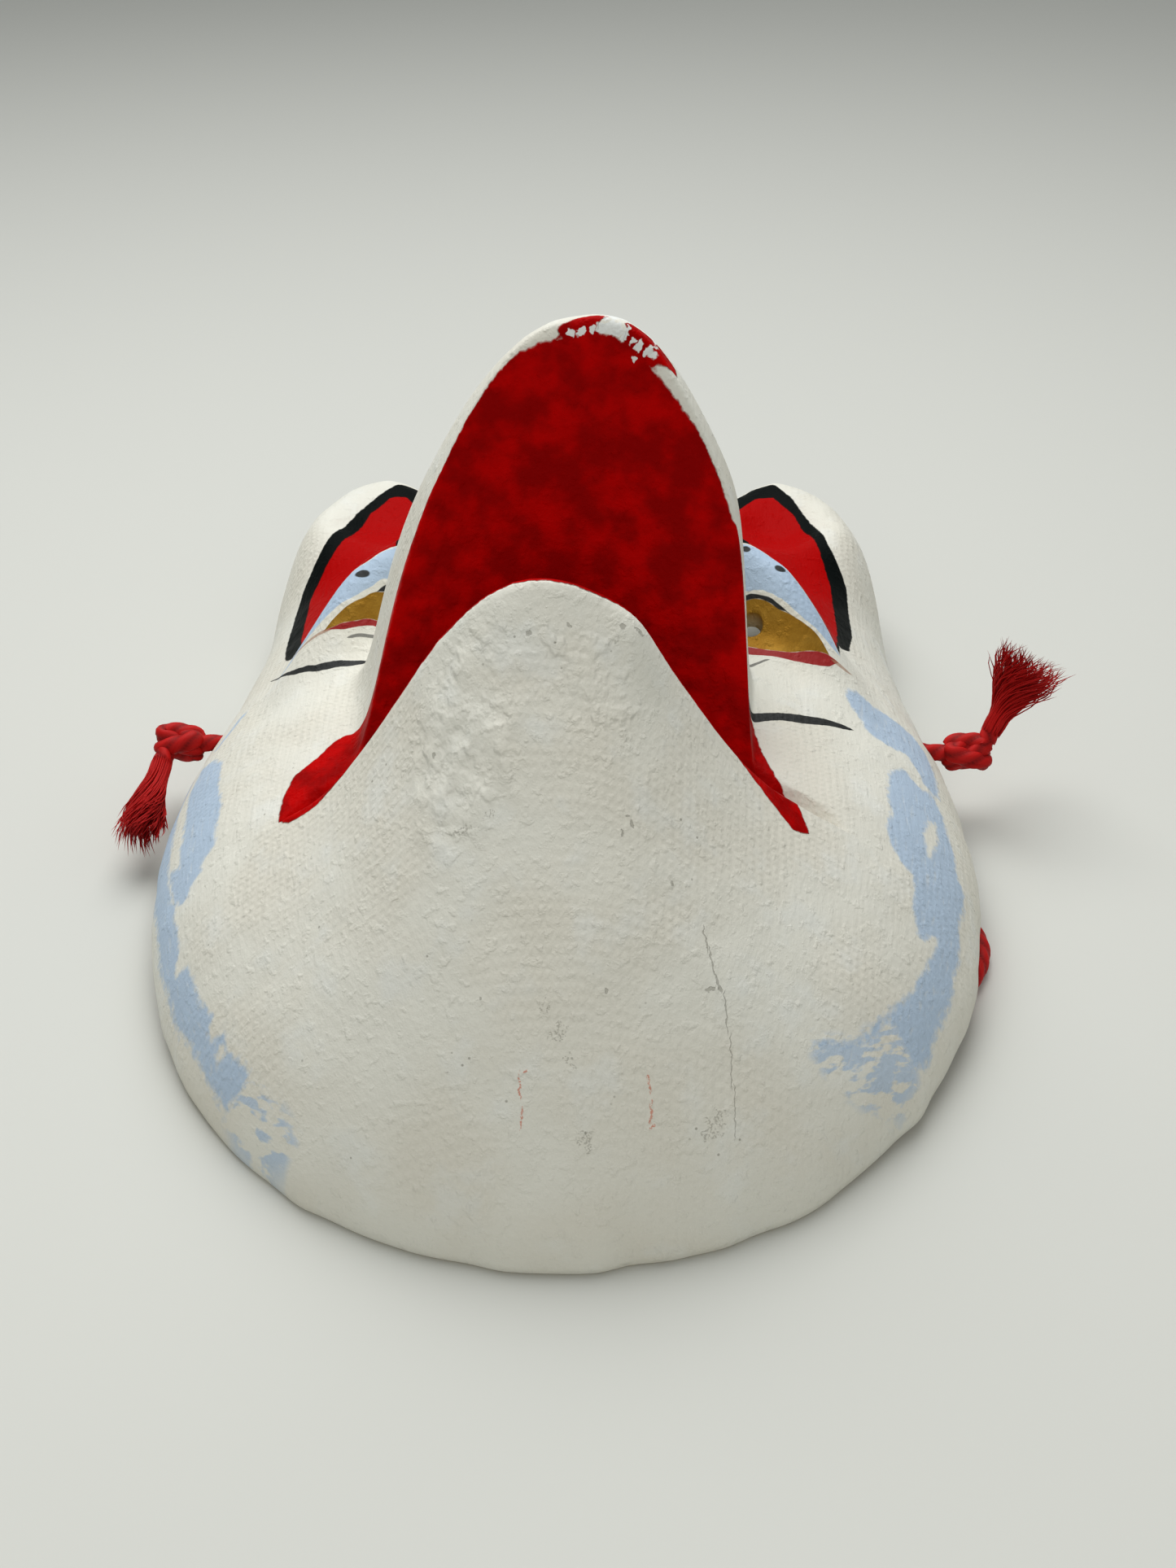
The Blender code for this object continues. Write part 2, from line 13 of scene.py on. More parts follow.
import bpy
import numpy as np
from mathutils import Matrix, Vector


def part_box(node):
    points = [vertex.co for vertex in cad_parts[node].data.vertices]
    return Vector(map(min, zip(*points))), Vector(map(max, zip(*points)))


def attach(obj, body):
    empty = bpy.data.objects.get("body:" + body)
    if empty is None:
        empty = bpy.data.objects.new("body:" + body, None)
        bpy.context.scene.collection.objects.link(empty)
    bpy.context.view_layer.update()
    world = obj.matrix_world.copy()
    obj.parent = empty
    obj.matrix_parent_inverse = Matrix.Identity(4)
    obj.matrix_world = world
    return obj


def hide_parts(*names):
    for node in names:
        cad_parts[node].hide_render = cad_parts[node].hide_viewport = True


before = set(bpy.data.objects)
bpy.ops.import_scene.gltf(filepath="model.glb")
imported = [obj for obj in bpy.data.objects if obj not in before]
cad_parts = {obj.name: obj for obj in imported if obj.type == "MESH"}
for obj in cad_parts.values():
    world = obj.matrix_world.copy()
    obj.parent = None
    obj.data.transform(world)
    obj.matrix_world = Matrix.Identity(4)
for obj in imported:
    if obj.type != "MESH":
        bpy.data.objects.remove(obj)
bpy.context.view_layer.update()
MM = 0.001
print("solids:", sorted(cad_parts))

# %% [markdown]
# The camera stands in front of the chin and looks down at 36 degrees, so the open snout
# towers over the ears. A 50 mm lens on a frame 36 mm high gives the view its strong
# perspective.

# %% Camera
CAMERA_PLACE = (0.0127, -0.3742, 0.2924)
CAMERA_PITCH = 54.0
CAMERA_YAW = 1.33
LENS = 50.0
FRAME_HEIGHT = 36.0
NEAREST_SEEN = 0.01

camera_data = bpy.data.cameras.new("camera")
camera_data.lens = LENS
camera_data.sensor_fit = "VERTICAL"
camera_data.sensor_height = FRAME_HEIGHT
camera_data.clip_start = NEAREST_SEEN
camera = bpy.data.objects.new("camera", camera_data)
camera.location = CAMERA_PLACE
camera.rotation_euler = (math.radians(CAMERA_PITCH), 0, math.radians(CAMERA_YAW))
bpy.context.collection.objects.link(camera)
bpy.context.scene.camera = camera
print("camera at", CAMERA_PLACE)

# %% [markdown]
# Colours are written as sRGB hex values, the way a paint chart gives them, and turned to
# the linear values that a shader works in. One helper adds a node: its settings are
# named values, and each input takes either a number or a link from another node.

# %% Colour and node helpers


def linear(code):
    """An sRGB hex colour as linear red, green, blue and a full alpha."""
    parts = np.array([int(code[i : i + 2], 16) for i in (1, 3, 5)]) / 255
    curved = np.where(parts <= 0.04045, parts / 12.92, ((parts + 0.055) / 1.055) ** 2.4)
    return (*curved.tolist(), 1.0)


def add(tree, kind, inputs=(), output=0, **settings):
    """Adds a shader node with its settings and inputs, and gives back one of its outputs.

    inputs is a list in the node's own order, or a dict by name. Each is a value or a link.
    """
    made = tree.nodes.new(f"ShaderNode{kind}")
    for name, value in settings.items():
        setattr(made, name, value)
    for name, value in inputs.items() if isinstance(inputs, dict) else enumerate(inputs):
        socket = made.inputs[name]
        if isinstance(value, bpy.types.NodeSocket):
            tree.links.new(value, socket)
        else:
            socket.default_value = value
    return made.outputs[output]


def new_material(name):
    """An empty node material: its tree and its Principled shader."""
    made = bpy.data.materials.new(name)
    made.use_nodes = True
    return made, made.node_tree, made.node_tree.nodes["Principled BSDF"]


# %% [markdown]
# Most pieces here are grids: a table of points with rows and columns, joined into quads.
# One helper turns such a table into a mesh object, closed round the tube where asked.

# %% Grid mesh helper


def quads(rows, columns, wraps=False):
    """Corner numbers of a grid's quads, row by row; wraps joins the last column to the first."""
    row = np.arange(rows - 1)[:, None]
    column = np.arange(columns if wraps else columns - 1)[None, :]
    after = (column + 1) % columns
    corners = [row * columns + column, row * columns + after]
    corners += [(row + 1) * columns + after, (row + 1) * columns + column]
    return np.stack(corners, axis=-1).reshape(-1, 4)


def add_piece(name, points, faces, finish, stands_for):
    """A smooth mesh piece on the root body, from points in metres and quads or triangles."""
    mesh = bpy.data.meshes.new(name)
    mesh.from_pydata(points.reshape(-1, 3).tolist(), [], [tuple(face) for face in faces])
    mesh.shade_smooth()
    mesh.materials.append(finish)
    made = bpy.data.objects.new(name, mesh)
    bpy.context.collection.objects.link(made)
    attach(made, "root")
    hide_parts(*stands_for)
    print(f"{name}: {len(mesh.vertices)} points, {len(mesh.polygons)} faces")
    return made


# %% [markdown]
# The cord is a soft twist of three red yarns, 4 mm thick. It enters the mask by one side
# hole, lies in loose bends on the table below the mask and leaves by the other hole. The
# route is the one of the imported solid. A smooth curve through its points is cut into even
# steps, and a ring of points is carried along it.

# %% The cord's route
CORD_DIAMETER = 0.0040
CORD_ROUTE = [
    (0.0812, 0.0210, 0.0150), (0.0740, 0.0210, 0.0150), (0.0676, 0.0180, 0.0125),
    (0.0636, 0.0090, 0.0062), (0.0680, -0.0050, 0.0024), (0.0795, -0.0170, 0.0023),
    (0.0853, -0.0300, 0.0023), (0.0800, -0.0440, 0.0023), (0.0640, -0.0600, 0.0023),
    (0.0400, -0.0760, 0.0023), (0.0100, -0.0830, 0.0023), (-0.0200, -0.0800, 0.0023),
    (-0.0460, -0.0660, 0.0023), (-0.0600, -0.0420, 0.0023), (-0.0520, -0.0180, 0.0023),
    (-0.0280, -0.0100, 0.0023), (-0.0020, -0.0170, 0.0023), (0.0230, -0.0150, 0.0023),
    (0.0360, 0.0040, 0.0023), (0.0280, 0.0260, 0.0023), (0.0050, 0.0400, 0.0023),
    (-0.0220, 0.0440, 0.0023), (-0.0460, 0.0400, 0.0026), (-0.0610, 0.0300, 0.0065),
    (-0.0676, 0.0232, 0.0126), (-0.0740, 0.0210, 0.0150), (-0.0812, 0.0210, 0.0150),
]
CORD_CURVE_STEPS = 12
INTO_KNOT = (0.004, 0, 0)


def smooth_curve(points, steps):
    """Points on a Catmull-Rom curve through the given points, its ends included.

    Between two points it is a cubic that leaves each along the line of its neighbours.
    """
    knots = np.asarray(points, float)
    first = 2 * knots[0] - knots[1]
    last = 2 * knots[-1] - knots[-2]
    knots = np.vstack([first, knots, last])
    part = np.linspace(0, 1, steps, endpoint=False)[:, None, None]
    before, start, end, after = knots[:-3], knots[1:-2], knots[2:-1], knots[3:]
    bend = 2 * before - 5 * start + 4 * end - after
    twist = 3 * (start - end) + after - before
    pieces = start + 0.5 * part * (end - before + part * (bend + part * twist))
    return np.vstack([pieces.transpose(1, 0, 2).reshape(-1, knots.shape[1]), knots[-2:-1]])


def evenly(points, count):
    """The given number of points, the same distance apart along a line of points."""
    steps = np.linalg.norm(np.diff(points, axis=0), axis=1)
    along = np.concatenate([[0], np.cumsum(steps)])
    places = np.linspace(0, along[-1], count)
    return np.stack([np.interp(places, along, column) for column in points.T], axis=1)


route = smooth_curve(CORD_ROUTE, CORD_CURVE_STEPS)
cord_line = np.vstack([route[:1] + INTO_KNOT, route, route[-1:] - INTO_KNOT])

# %% [markdown]
# Rayon yarn is a bundle of fine filaments, so it shows short streaks along its twist and a
# soft gleam. The grooves between the yarns are painted darker, as painted shade. Streaks come
# from the piece's own UV map, whose U runs round the yarn and whose V is the distance along
# it in metres.

# %% Red rayon yarn
YARN_RED = "#A00404"
YARN_GROOVE_SHADE = "#3E0204"
YARN_LIGHT = "#C01410"
STREAKS_AROUND = 22.0
STREAK_LENGTH = 0.006
STREAK_RELIEF = 0.00015
STREAK_STRENGTH = 0.6
GROOVE_SHADE_TONE = 0.25
YARN_ROUGHNESS = 0.6
YARN_GLOSS = 0.15


def rayon_yarn(name, red, groove_shade, light):
    """Spun rayon dyed red: half matte, with fine lengthwise streaks and painted shade in the
    grooves.
    """
    made, tree, shader = new_material(name)
    uv = add(tree, "UVMap", uv_map="along")
    streak_scale = {"Vector": uv, "Scale": (STREAKS_AROUND, 1 / STREAK_LENGTH, 1.0)}
    stretched = add(tree, "Mapping", streak_scale)
    streak = add(tree, "TexNoise", {"Vector": stretched, "Scale": 1.0, "Detail": 3.0})
    # The groove attribute darkens the colour towards the dark red: painted shade in the grooves.
    groove = add(tree, "Attribute", attribute_name="groove", output=2)
    depth = add(tree, "MapRange", {"Value": groove, "To Min": GROOVE_SHADE_TONE, "To Max": 1.0})
    tint = {"Factor": streak, "A": linear(red), "B": linear(light)}
    tone = add(tree, "Mix", tint, output=2, data_type="RGBA")
    shade = {"Factor": depth, "A": linear(groove_shade), "B": tone}
    colour = add(tree, "Mix", shade, output=2, data_type="RGBA")
    bump = {"Strength": STREAK_STRENGTH, "Distance": STREAK_RELIEF, "Height": streak}
    tree.links.new(colour, shader.inputs["Base Color"])
    tree.links.new(add(tree, "Bump", bump), shader.inputs["Normal"])
    shader.inputs["Roughness"].default_value = YARN_ROUGHNESS
    shader.inputs["Specular IOR Level"].default_value = YARN_GLOSS
    return made


yarn = rayon_yarn("rayon yarn, dyed red", YARN_RED, YARN_GROOVE_SHADE, YARN_LIGHT)
print("finish:", yarn.name)

# %% [markdown]
# A twisted cord's outline is three round lobes that turn as they go. The radius at angle a
# and distance s is the cord's radius times one less a small share of the gap between
# lobes, where the lobes have turned by s over the lay, the length of one full turn.

# %% Twisted tube
LAY = 0.0125
LOBES = 3
LOBE_DEPTH = 0.22
LOBE_FULLNESS = 0.8
AROUND = 24
CLOSED = 1e-6
NEARLY_UP = (0.13, 0.21, 1.0)


def ring_frame(line):
    """Unit sideways and upward vectors at each point of a line that isn't along NEARLY_UP."""
    along = np.gradient(line, axis=0)
    along /= np.linalg.norm(along, axis=1, keepdims=True)
    side = np.cross(along, NEARLY_UP)
    side /= np.linalg.norm(side, axis=1, keepdims=True)
    return side, np.cross(side, along)


def twisted_tube(line, radius):
    """Points, quads, UV and groove depth of a three-lobed twist along a line; the depth sets
    painted shade.

    radius is one number or one for each point. The first and last rings close to a point.
    """
    steps = np.linalg.norm(np.diff(line, axis=0), axis=1)
    along = np.concatenate([[0], np.cumsum(steps)])
    side, up = ring_frame(line)
    angle = np.linspace(0, 2 * np.pi, AROUND, endpoint=False)[None, :]
    turned = angle - 2 * np.pi * along[:, None] / LAY
    lobe = np.abs(np.sin(LOBES * turned / 2)) ** LOBE_FULLNESS
    width = np.broadcast_to(np.asarray(radius, float), along.shape)[:, None]
    reach = width * (1 - LOBE_DEPTH + LOBE_DEPTH * lobe)
    reach[[0, -1]] = CLOSED
    ring = np.cos(angle)[..., None] * side[:, None] + np.sin(angle)[..., None] * up[:, None]
    points = line[:, None, :] + reach[..., None] * ring
    faces = quads(len(line), AROUND, wraps=True)[:, ::-1]
    uv = np.stack([turned / (2 * np.pi), np.broadcast_to(along[:, None], turned.shape)], axis=-1)
    return points, faces, uv.reshape(-1, 2), lobe.reshape(-1)


def add_strands(name, parts, stands_for):
    """One piece of several tubes, with its UV map and its groove attribute for painted shade."""
    counts = np.cumsum([0] + [part[0].size // 3 for part in parts])
    points = np.vstack([part[0].reshape(-1, 3) for part in parts])
    faces = np.vstack([part[1] + first for part, first in zip(parts, counts)])
    made = add_piece(name, points, faces, yarn, stands_for)
    corner = np.zeros(len(made.data.loops), np.int32)
    made.data.loops.foreach_get("vertex_index", corner)
    uv = np.vstack([part[2] for part in parts])[corner]
    made.data.uv_layers.new(name="along").data.foreach_set("uv", uv.astype(np.float32).ravel())
    # The groove attribute is painted shade: darker in the grooves and inside a frayed brush.
    groove = made.data.attributes.new("groove", "FLOAT", "POINT")
    depth = np.concatenate([part[3] for part in parts])
    groove.data.foreach_set("value", depth.astype(np.float32))
    return made


CORD_RINGS = 800
cord = add_strands(
    "twisted_head_cord",
    [twisted_tube(evenly(cord_line, CORD_RINGS), CORD_DIAMETER / 2)],
    ["head_cord"],
)

# %% [markdown]
# The stopper knot is one tight overhand knot of the same cord. A trefoil is the simplest
# closed line with an overhand knot in it, so its line gives the three lobes that show.

# %% Stopper knots
KNOT_HALF_SIZE = (0.0056, 0.0046, 0.0048)
KNOT_CORD_RADIUS = 0.0021
KNOT_RINGS = 110
KNOT_TURNS = {"right": 0.4, "left": 2.2}


def knot_line(middle, sign, turn):
    """A trefoil's line: a circle gone round twice while it swings in and out three times."""
    angle = np.linspace(0, 2 * np.pi, KNOT_RINGS)
    across = (np.sin(angle) + 2 * np.sin(2 * angle)) / 3
    upwards = (np.cos(angle) - 2 * np.cos(2 * angle)) / 3
    out = -np.sin(3 * angle)
    reach = np.array(KNOT_HALF_SIZE) - KNOT_CORD_RADIUS
    y = across * math.cos(turn) - upwards * math.sin(turn)
    z = across * math.sin(turn) + upwards * math.cos(turn)
    return np.asarray(middle) + np.stack([sign * out, y, z], axis=1) * reach


def add_knot(name, sign, turn):
    """The knot outside one hole, round the point where its CAD solid has its middle."""
    low, high = (np.array(corner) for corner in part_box(name))
    line = knot_line((low + high) / 2, sign, turn)
    return add_strands(f"{name}_of_cord", [twisted_tube(line, KNOT_CORD_RADIUS)], [name])


right_knot = add_knot("right_knot", 1, KNOT_TURNS["right"])
left_knot = add_knot("left_knot", -1, KNOT_TURNS["left"])

# %% [markdown]
# Past the knot the cord comes undone. Its filaments leave in one neck and spread into a
# brush. Each filament is a line from the neck to its own place on a disc at the brush's
# end, bent outwards late, with a little wander; all of them are worked out in one array.
# An end's table row is the way it points, how wide it spreads and its random seed.

# %% Frayed ends
FILAMENTS = 330
FILAMENT_POINTS = 9
FILAMENT_SIDES = 4
FILAMENT_RADIUS = 0.00026
FILAMENT_LENGTHS = (0.72, 1.04)
FILAMENT_TAPER = 0.5
TIP_SHARE = 0.02
FRAY_STARTS = 0.28
FRAY_CURVE = 1.3
SWIRL = 1.6
SWIRL_SPREAD = 0.25
WANDER = 0.035
INNER_PAINTED_SHADE = 0.35
NECK_RADIUS = 0.0023
NECK_SHARE = 0.42
NECK_RINGS = 26
NECK_TAPER = 0.7
BRUSH_STARTS = 0.1
BRUSH_LENGTH = 1.05
OUT_OF_KNOT = 0.0025
PAST_KNOT = 0.003
RIGHT_END = ((0.0090, 0.0085, 0.0145), 0.0090, 5)
LEFT_END = ((-0.0020, -0.0225, -0.0045), 0.0052, 9)


def fray(root, way, spread, seed):
    """Filaments of a frayed end: lines times points times sides, as one array of points."""
    random = np.random.default_rng(seed)
    way = np.asarray(way, float)
    length = np.linalg.norm(way)
    ahead = way / length
    side = np.cross(ahead, (0, 0, 1))
    side /= np.linalg.norm(side)
    up = np.cross(side, ahead)
    turn = random.uniform(0, 2 * np.pi, (FILAMENTS, 1))
    out = np.sqrt(random.uniform(0, 1, (FILAMENTS, 1)))
    reach = length * random.uniform(*FILAMENT_LENGTHS, (FILAMENTS, 1))
    share = np.linspace(0, 1, FILAMENT_POINTS)[None, :]
    opened = np.clip((share - FRAY_STARTS) / (1 - FRAY_STARTS), 0, 1) ** FRAY_CURVE
    radius = NECK_RADIUS * out + (spread * out - NECK_RADIUS * out) * opened
    stray = random.normal(0, SWIRL_SPREAD, (FILAMENTS, 1))
    swirl = turn + SWIRL * (1 - opened) + stray * opened
    wander = random.normal(0, WANDER, (FILAMENTS, 1)) * length * share**2
    sideways = radius * np.cos(swirl) + wander
    upwards = radius * np.sin(swirl)
    line = np.asarray(root) + (reach * share)[..., None] * ahead
    line = line + sideways[..., None] * side + upwards[..., None] * up
    angle = np.linspace(0, 2 * np.pi, FILAMENT_SIDES, endpoint=False)
    ring = np.cos(angle)[:, None] * side + np.sin(angle)[:, None] * up
    thick = FILAMENT_RADIUS * np.where(share < 1, 1 - FILAMENT_TAPER * share, TIP_SHARE)
    thick = np.where(share > 0, thick, 0.0)
    points = line[:, :, None, :] + thick[:, :, None, None] * ring
    one = quads(FILAMENT_POINTS, FILAMENT_SIDES, wraps=True)[:, ::-1]
    first = np.arange(FILAMENTS)[:, None, None] * FILAMENT_POINTS * FILAMENT_SIDES
    faces = (one[None] + first).reshape(-1, 4)
    u = np.broadcast_to(angle / (2 * np.pi), points.shape[:3])
    v = np.broadcast_to((reach * share)[:, :, None], points.shape[:3])
    uv = np.stack([u + turn[..., None], v], axis=-1).reshape(-1, 2)
    # Filaments near the brush's middle are painted darker: painted shade inside the brush.
    shade = INNER_PAINTED_SHADE + (1 - INNER_PAINTED_SHADE) * out[..., None]
    return points, faces, uv, np.broadcast_to(shade, points.shape[:3]).reshape(-1)


def add_frayed_end(name, sign, way, spread, seed):
    """The neck and brush in the place of a CAD cord end, from the knot outwards."""
    low, high = (np.array(corner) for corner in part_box(f"{name}_knot"))
    middle = (low + high) / 2
    way = np.asarray(way, float)
    ahead = way / np.linalg.norm(way)
    root = middle + OUT_OF_KNOT * np.array([sign, 0, 0]) + PAST_KNOT * ahead
    neck_line = root + np.linspace(0, NECK_SHARE, NECK_RINGS)[:, None] * way
    neck = twisted_tube(neck_line, NECK_RADIUS * np.linspace(1, NECK_TAPER, NECK_RINGS))
    brush = fray(root + BRUSH_STARTS * way, BRUSH_LENGTH * way, spread, seed)
    return add_strands(f"{name}_frayed_end", [neck, brush], [f"{name}_cord_end"])


right_end = add_frayed_end("right", 1, *RIGHT_END)
left_end = add_frayed_end("left", -1, *LEFT_END)

# %% [markdown]

# %% [markdown]
# ## The shape of the mask
#
# The mask has no undercut, so its skin is a height over each place of its plan. The
# formulas are those of the imported solid, in metres, with plan places measured from the
# chin's rim: a dome, two ears, brows, a lower jaw, a palate and a snout, joined by soft
# maximum and minimum. Only the grid is finer here, and the hand's unevenness is added.
# The upper outline is pairs of a share of the half width and a distance from the chin. A
# flank of the snout is a width and its roundness, a wall and its steepness, and a bulge.

# %% Sizes of the shell
HALF_WIDTH = 0.085
CHIN_TO_WIDEST = 0.095
WALL = 0.0032
RIM_EDGE = 0.0022
RIM_LIFT = 0.0065
RIM_LIFT_STARTS_LEFT = 0.020
RIM_LIFT_STARTS_RIGHT = 0.006
RIM_LIFT_ENDS = 0.180
UPPER_OUTLINE = [
    (1.002, 0.1150), (0.979, 0.1320), (0.947, 0.1490), (0.920, 0.1660), (0.888, 0.1830),
    (0.865, 0.1990), (0.812, 0.2150), (0.706, 0.2295), (0.559, 0.2350), (0.424, 0.2280),
    (0.300, 0.2140), (0.159, 0.2045), (0.0, 0.2020),
]
DOME_HEIGHT = 0.050
DOME_REACH = 0.070
DOME_BULGE = 2.2
DOME_SHOULDER = 0.68
EAR_FACE_HEIGHT = 0.0385
EAR_TIP_DROP = 0.0030
EAR_DISH = 0.0050
EAR_DISH_CENTRE = (0.0475, 0.196)
EAR_DISH_HALF_SIZE = (0.0190, 0.0370)
EAR_REACH = 0.014
EAR_RIM_RISE = 0.021
EAR_STARTS = (0.160, 0.206)
EAR_RIM_STARTS = (0.182, 0.228)
EAR_INNER_SIDE = (0.008, 0.032)
LIP_LINE = 0.075
JAW_RISE = 0.0458
JAW_LEAN = -0.0025
JAW_HALF_WIDTH = 0.031
JAW_ROUNDNESS = 2.5
JAW_SWEEP = 1.75
JAW_INNER_SLOPE = 3.1
MOUTH_HALF_WIDTH = 0.050
MOUTH_LEAN = -0.0037
MOUTH_CORNER_BLEND = 0.8
MOUTH_CORNER_HEIGHT = 0.040
PALATE_RISE = 0.0868
PALATE_RUN = 0.041
PALATE_CURVE = 0.6
PALATE_GOES_ON = 1.3
SNOUT_RISE = MOUTH_CORNER_HEIGHT + PALATE_RISE - DOME_HEIGHT
SNOUT_LEAN = 0.0048
SNOUT_LEFT = (0.0390, 2.4, 0.0424, 14, 0.0024)
SNOUT_RIGHT = (0.0350, 2.4, 0.0306, 28, 0.0006)
SNOUT_BULGE_PLACE = 0.119
SNOUT_BULGE_LENGTH = 0.010
SNOUT_NARROWING = 0.22
SNOUT_NARROWS = (0.118, 0.142)
BRIDGE_LENGTH = 0.046
BRIDGE_FALL = 1.9
SNOUT_CLEAR_OF_RIM = 0.030
LIP_ROUNDING = 0.0030
NOSE_ROUNDING = 0.0080
NOSE_HALF_WIDTH = 0.012
GROOVE_ROUNDING = 0.0060
LEAST_ROUNDING = 1e-6
BROW_RISE = 0.0140
BROW_FRONT_WIDTH = 0.0125
BROW_BACK_WIDTH = 0.0100
BROW_INNER = (0.035, 0.153)
BROW_OUTER = (0.056, 0.138)
BROW_STARTS = (0.014, 0.034)
BROW_ENDS = (0.044, 0.067)
LENGTH = max(place[1] for place in UPPER_OUTLINE)
MIDDLE = LENGTH / 2

# %% [markdown]
# The plan outline is a quarter of an ellipse up to the widest place and a smooth curve
# from there over the ear to the notch, mirrored. Everything else needs to know how far
# inside it a place lies.

# %% Plan outline
OUTLINE_STEPS = 60
CURVE_STEPS = 8
LEAD_IN = 6


def half_outline():
    """The right half of the plan outline, from the chin to the notch between the ears."""
    turn = np.linspace(0, np.pi / 2, OUTLINE_STEPS)[:-1]
    lower = np.stack([HALF_WIDTH * np.sin(turn), CHIN_TO_WIDEST * (1 - np.cos(turn))], axis=1)
    chosen = [lower[-LEAD_IN], (HALF_WIDTH, CHIN_TO_WIDEST)]
    chosen += [(HALF_WIDTH * share, y) for share, y in UPPER_OUTLINE]
    upper = smooth_curve(chosen, CURVE_STEPS)[CURVE_STEPS:]
    return np.vstack([lower, upper])


OUTLINE = half_outline()
LOOP = np.vstack([OUTLINE, OUTLINE[-2:0:-1] * (-1, 1)])
RIGHT_SIDE = OUTLINE[: int(np.argmax(OUTLINE[:, 1]))]
AT_ONCE = 20000


def loop_distance(x, y, loop):
    """Distance from plan places to a loop of points, and whether they lie inside it.

    The nearest point of each stretch is found by projecting onto it; a place is inside
    if a ray towards +X crosses the loop an odd number of times.
    """
    place = np.stack([np.ravel(x), np.ravel(y)], axis=1)
    start = np.asarray(loop, float)
    end = np.roll(start, -1, axis=0)
    run = end - start
    nearest, inside = [], []
    for some in np.array_split(place, max(1, len(place) // AT_ONCE)):
        away = some[:, None, :] - start[None, :, :]
        share = np.clip((away * run).sum(2) / (run * run).sum(1), 0, 1)
        gap = away - share[:, :, None] * run
        nearest.append(np.sqrt((gap * gap).sum(2).min(1)))
        crosses = (start[:, 1] > some[:, 1:]) != (end[:, 1] > some[:, 1:])
        with np.errstate(divide="ignore", invalid="ignore"):
            reach = start[:, 0] + run[:, 0] * (some[:, 1:] - start[:, 1]) / run[:, 1]
        inside.append((crosses & (some[:, :1] < reach)).sum(1) % 2 == 1)
    shape = np.shape(x)
    return np.concatenate(nearest).reshape(shape), np.concatenate(inside).reshape(shape)


def rim_distance(x, y):
    """How far a plan place lies inside the outline; 0 on it and outside it."""
    distance, inside = loop_distance(x, y, LOOP)
    return np.where(inside, distance, 0)


def half_width(y):
    """Half the plan width at a distance from the chin, below the ears' tips."""
    return np.interp(y, RIGHT_SIDE[:, 1], RIGHT_SIDE[:, 0])


print(f"outline: {len(LOOP)} points, {2000 * HALF_WIDTH:.0f} mm wide, {1000 * LENGTH:.0f} mm long")

# %% [markdown]
# Each form is one formula. Soft maximum and minimum join two surfaces with a rounded
# valley or edge: inside a band as wide as the radius, they blend by a parabola.

# %% Forms of the face


def ease(value, start, end):
    """0 before start, 1 after end, and a smooth S between."""
    part = np.clip((value - start) / (end - start), 0, 1)
    return part * part * (3 - 2 * part)


def soft_max(a, b, radius):
    """The higher of two surfaces, with the valley between them rounded."""
    share = np.clip(0.5 + 0.5 * (a - b) / radius, 0, 1)
    return b + (a - b) * share + radius * share * (1 - share)


def soft_min(a, b, radius):
    """The lower of two surfaces, with the edge between them rounded."""
    return -soft_max(-a, -b, radius)


def rim_height(x, y):
    """The underside of the rim: on the table at chin and notch, lifted at sides and ears."""
    starts = np.where(x > 0, RIM_LIFT_STARTS_RIGHT, RIM_LIFT_STARTS_LEFT)
    share = np.clip((y - starts) / (RIM_LIFT_ENDS - starts), 0, 1)
    lifted = RIM_LIFT * np.sin(np.pi * share) ** 2
    inward = ease(np.abs(x), *EAR_INNER_SIDE)
    return lifted + EAR_RIM_RISE * ease(y, *EAR_RIM_STARTS) * inward


def ear_dish(x, y):
    """A long smooth hollow in the ear's face: one less squared distance, squared."""
    across = (np.abs(x) - EAR_DISH_CENTRE[0]) / EAR_DISH_HALF_SIZE[0]
    along = (y - EAR_DISH_CENTRE[1]) / EAR_DISH_HALF_SIZE[1]
    return EAR_DISH * (1 - np.clip(across**2 + along**2, 0, 1)) ** 2


def palate_height(y):
    """The palate's slope seen from the side: a rising curve, steepest at the nose."""
    forward = np.clip((y - LIP_LINE) / PALATE_RUN, 0, PALATE_GOES_ON)
    rising = MOUTH_CORNER_HEIGHT + PALATE_RISE * forward ** (1 / PALATE_CURVE)
    return rising - JAW_INNER_SLOPE * np.clip(LIP_LINE - y, 0, None)


def snout_rise(x, y, inwards):
    """How far the snout stands over the dome: a bell across, falling along the bridge."""
    away = x - SNOUT_LEAN
    behind_lip = np.exp(-(((y - SNOUT_BULGE_PLACE) / SNOUT_BULGE_LENGTH) ** 2))
    spread = 1 - SNOUT_NARROWING * ease(y, *SNOUT_NARROWS)
    total = 0
    for distance, flank in ((-away, SNOUT_LEFT), (away, SNOUT_RIGHT)):
        width, roundness, wall, steepness, bulge = flank
        beside = np.clip(distance, 0, None)
        total = total + (beside / (width * spread + bulge * behind_lip)) ** roundness
        total = total + (beside / (wall * spread + bulge * behind_lip)) ** steepness
    back = np.clip(y - LIP_LINE - PALATE_RUN, 0, None) / BRIDGE_LENGTH
    falling = SNOUT_RISE / (1 + back**BRIDGE_FALL)
    return falling * np.exp(-total) * np.clip(inwards / SNOUT_CLEAR_OF_RIM, 0, 1)


def jaw_rise(x, y):
    """How far the lower jaw stands over the dome, up to its lip: a bell across."""
    across = np.abs(x - JAW_LEAN) / JAW_HALF_WIDTH
    along = np.clip(y / LIP_LINE, 0, None) ** JAW_SWEEP
    return JAW_RISE * along * np.exp(-(across**JAW_ROUNDNESS))


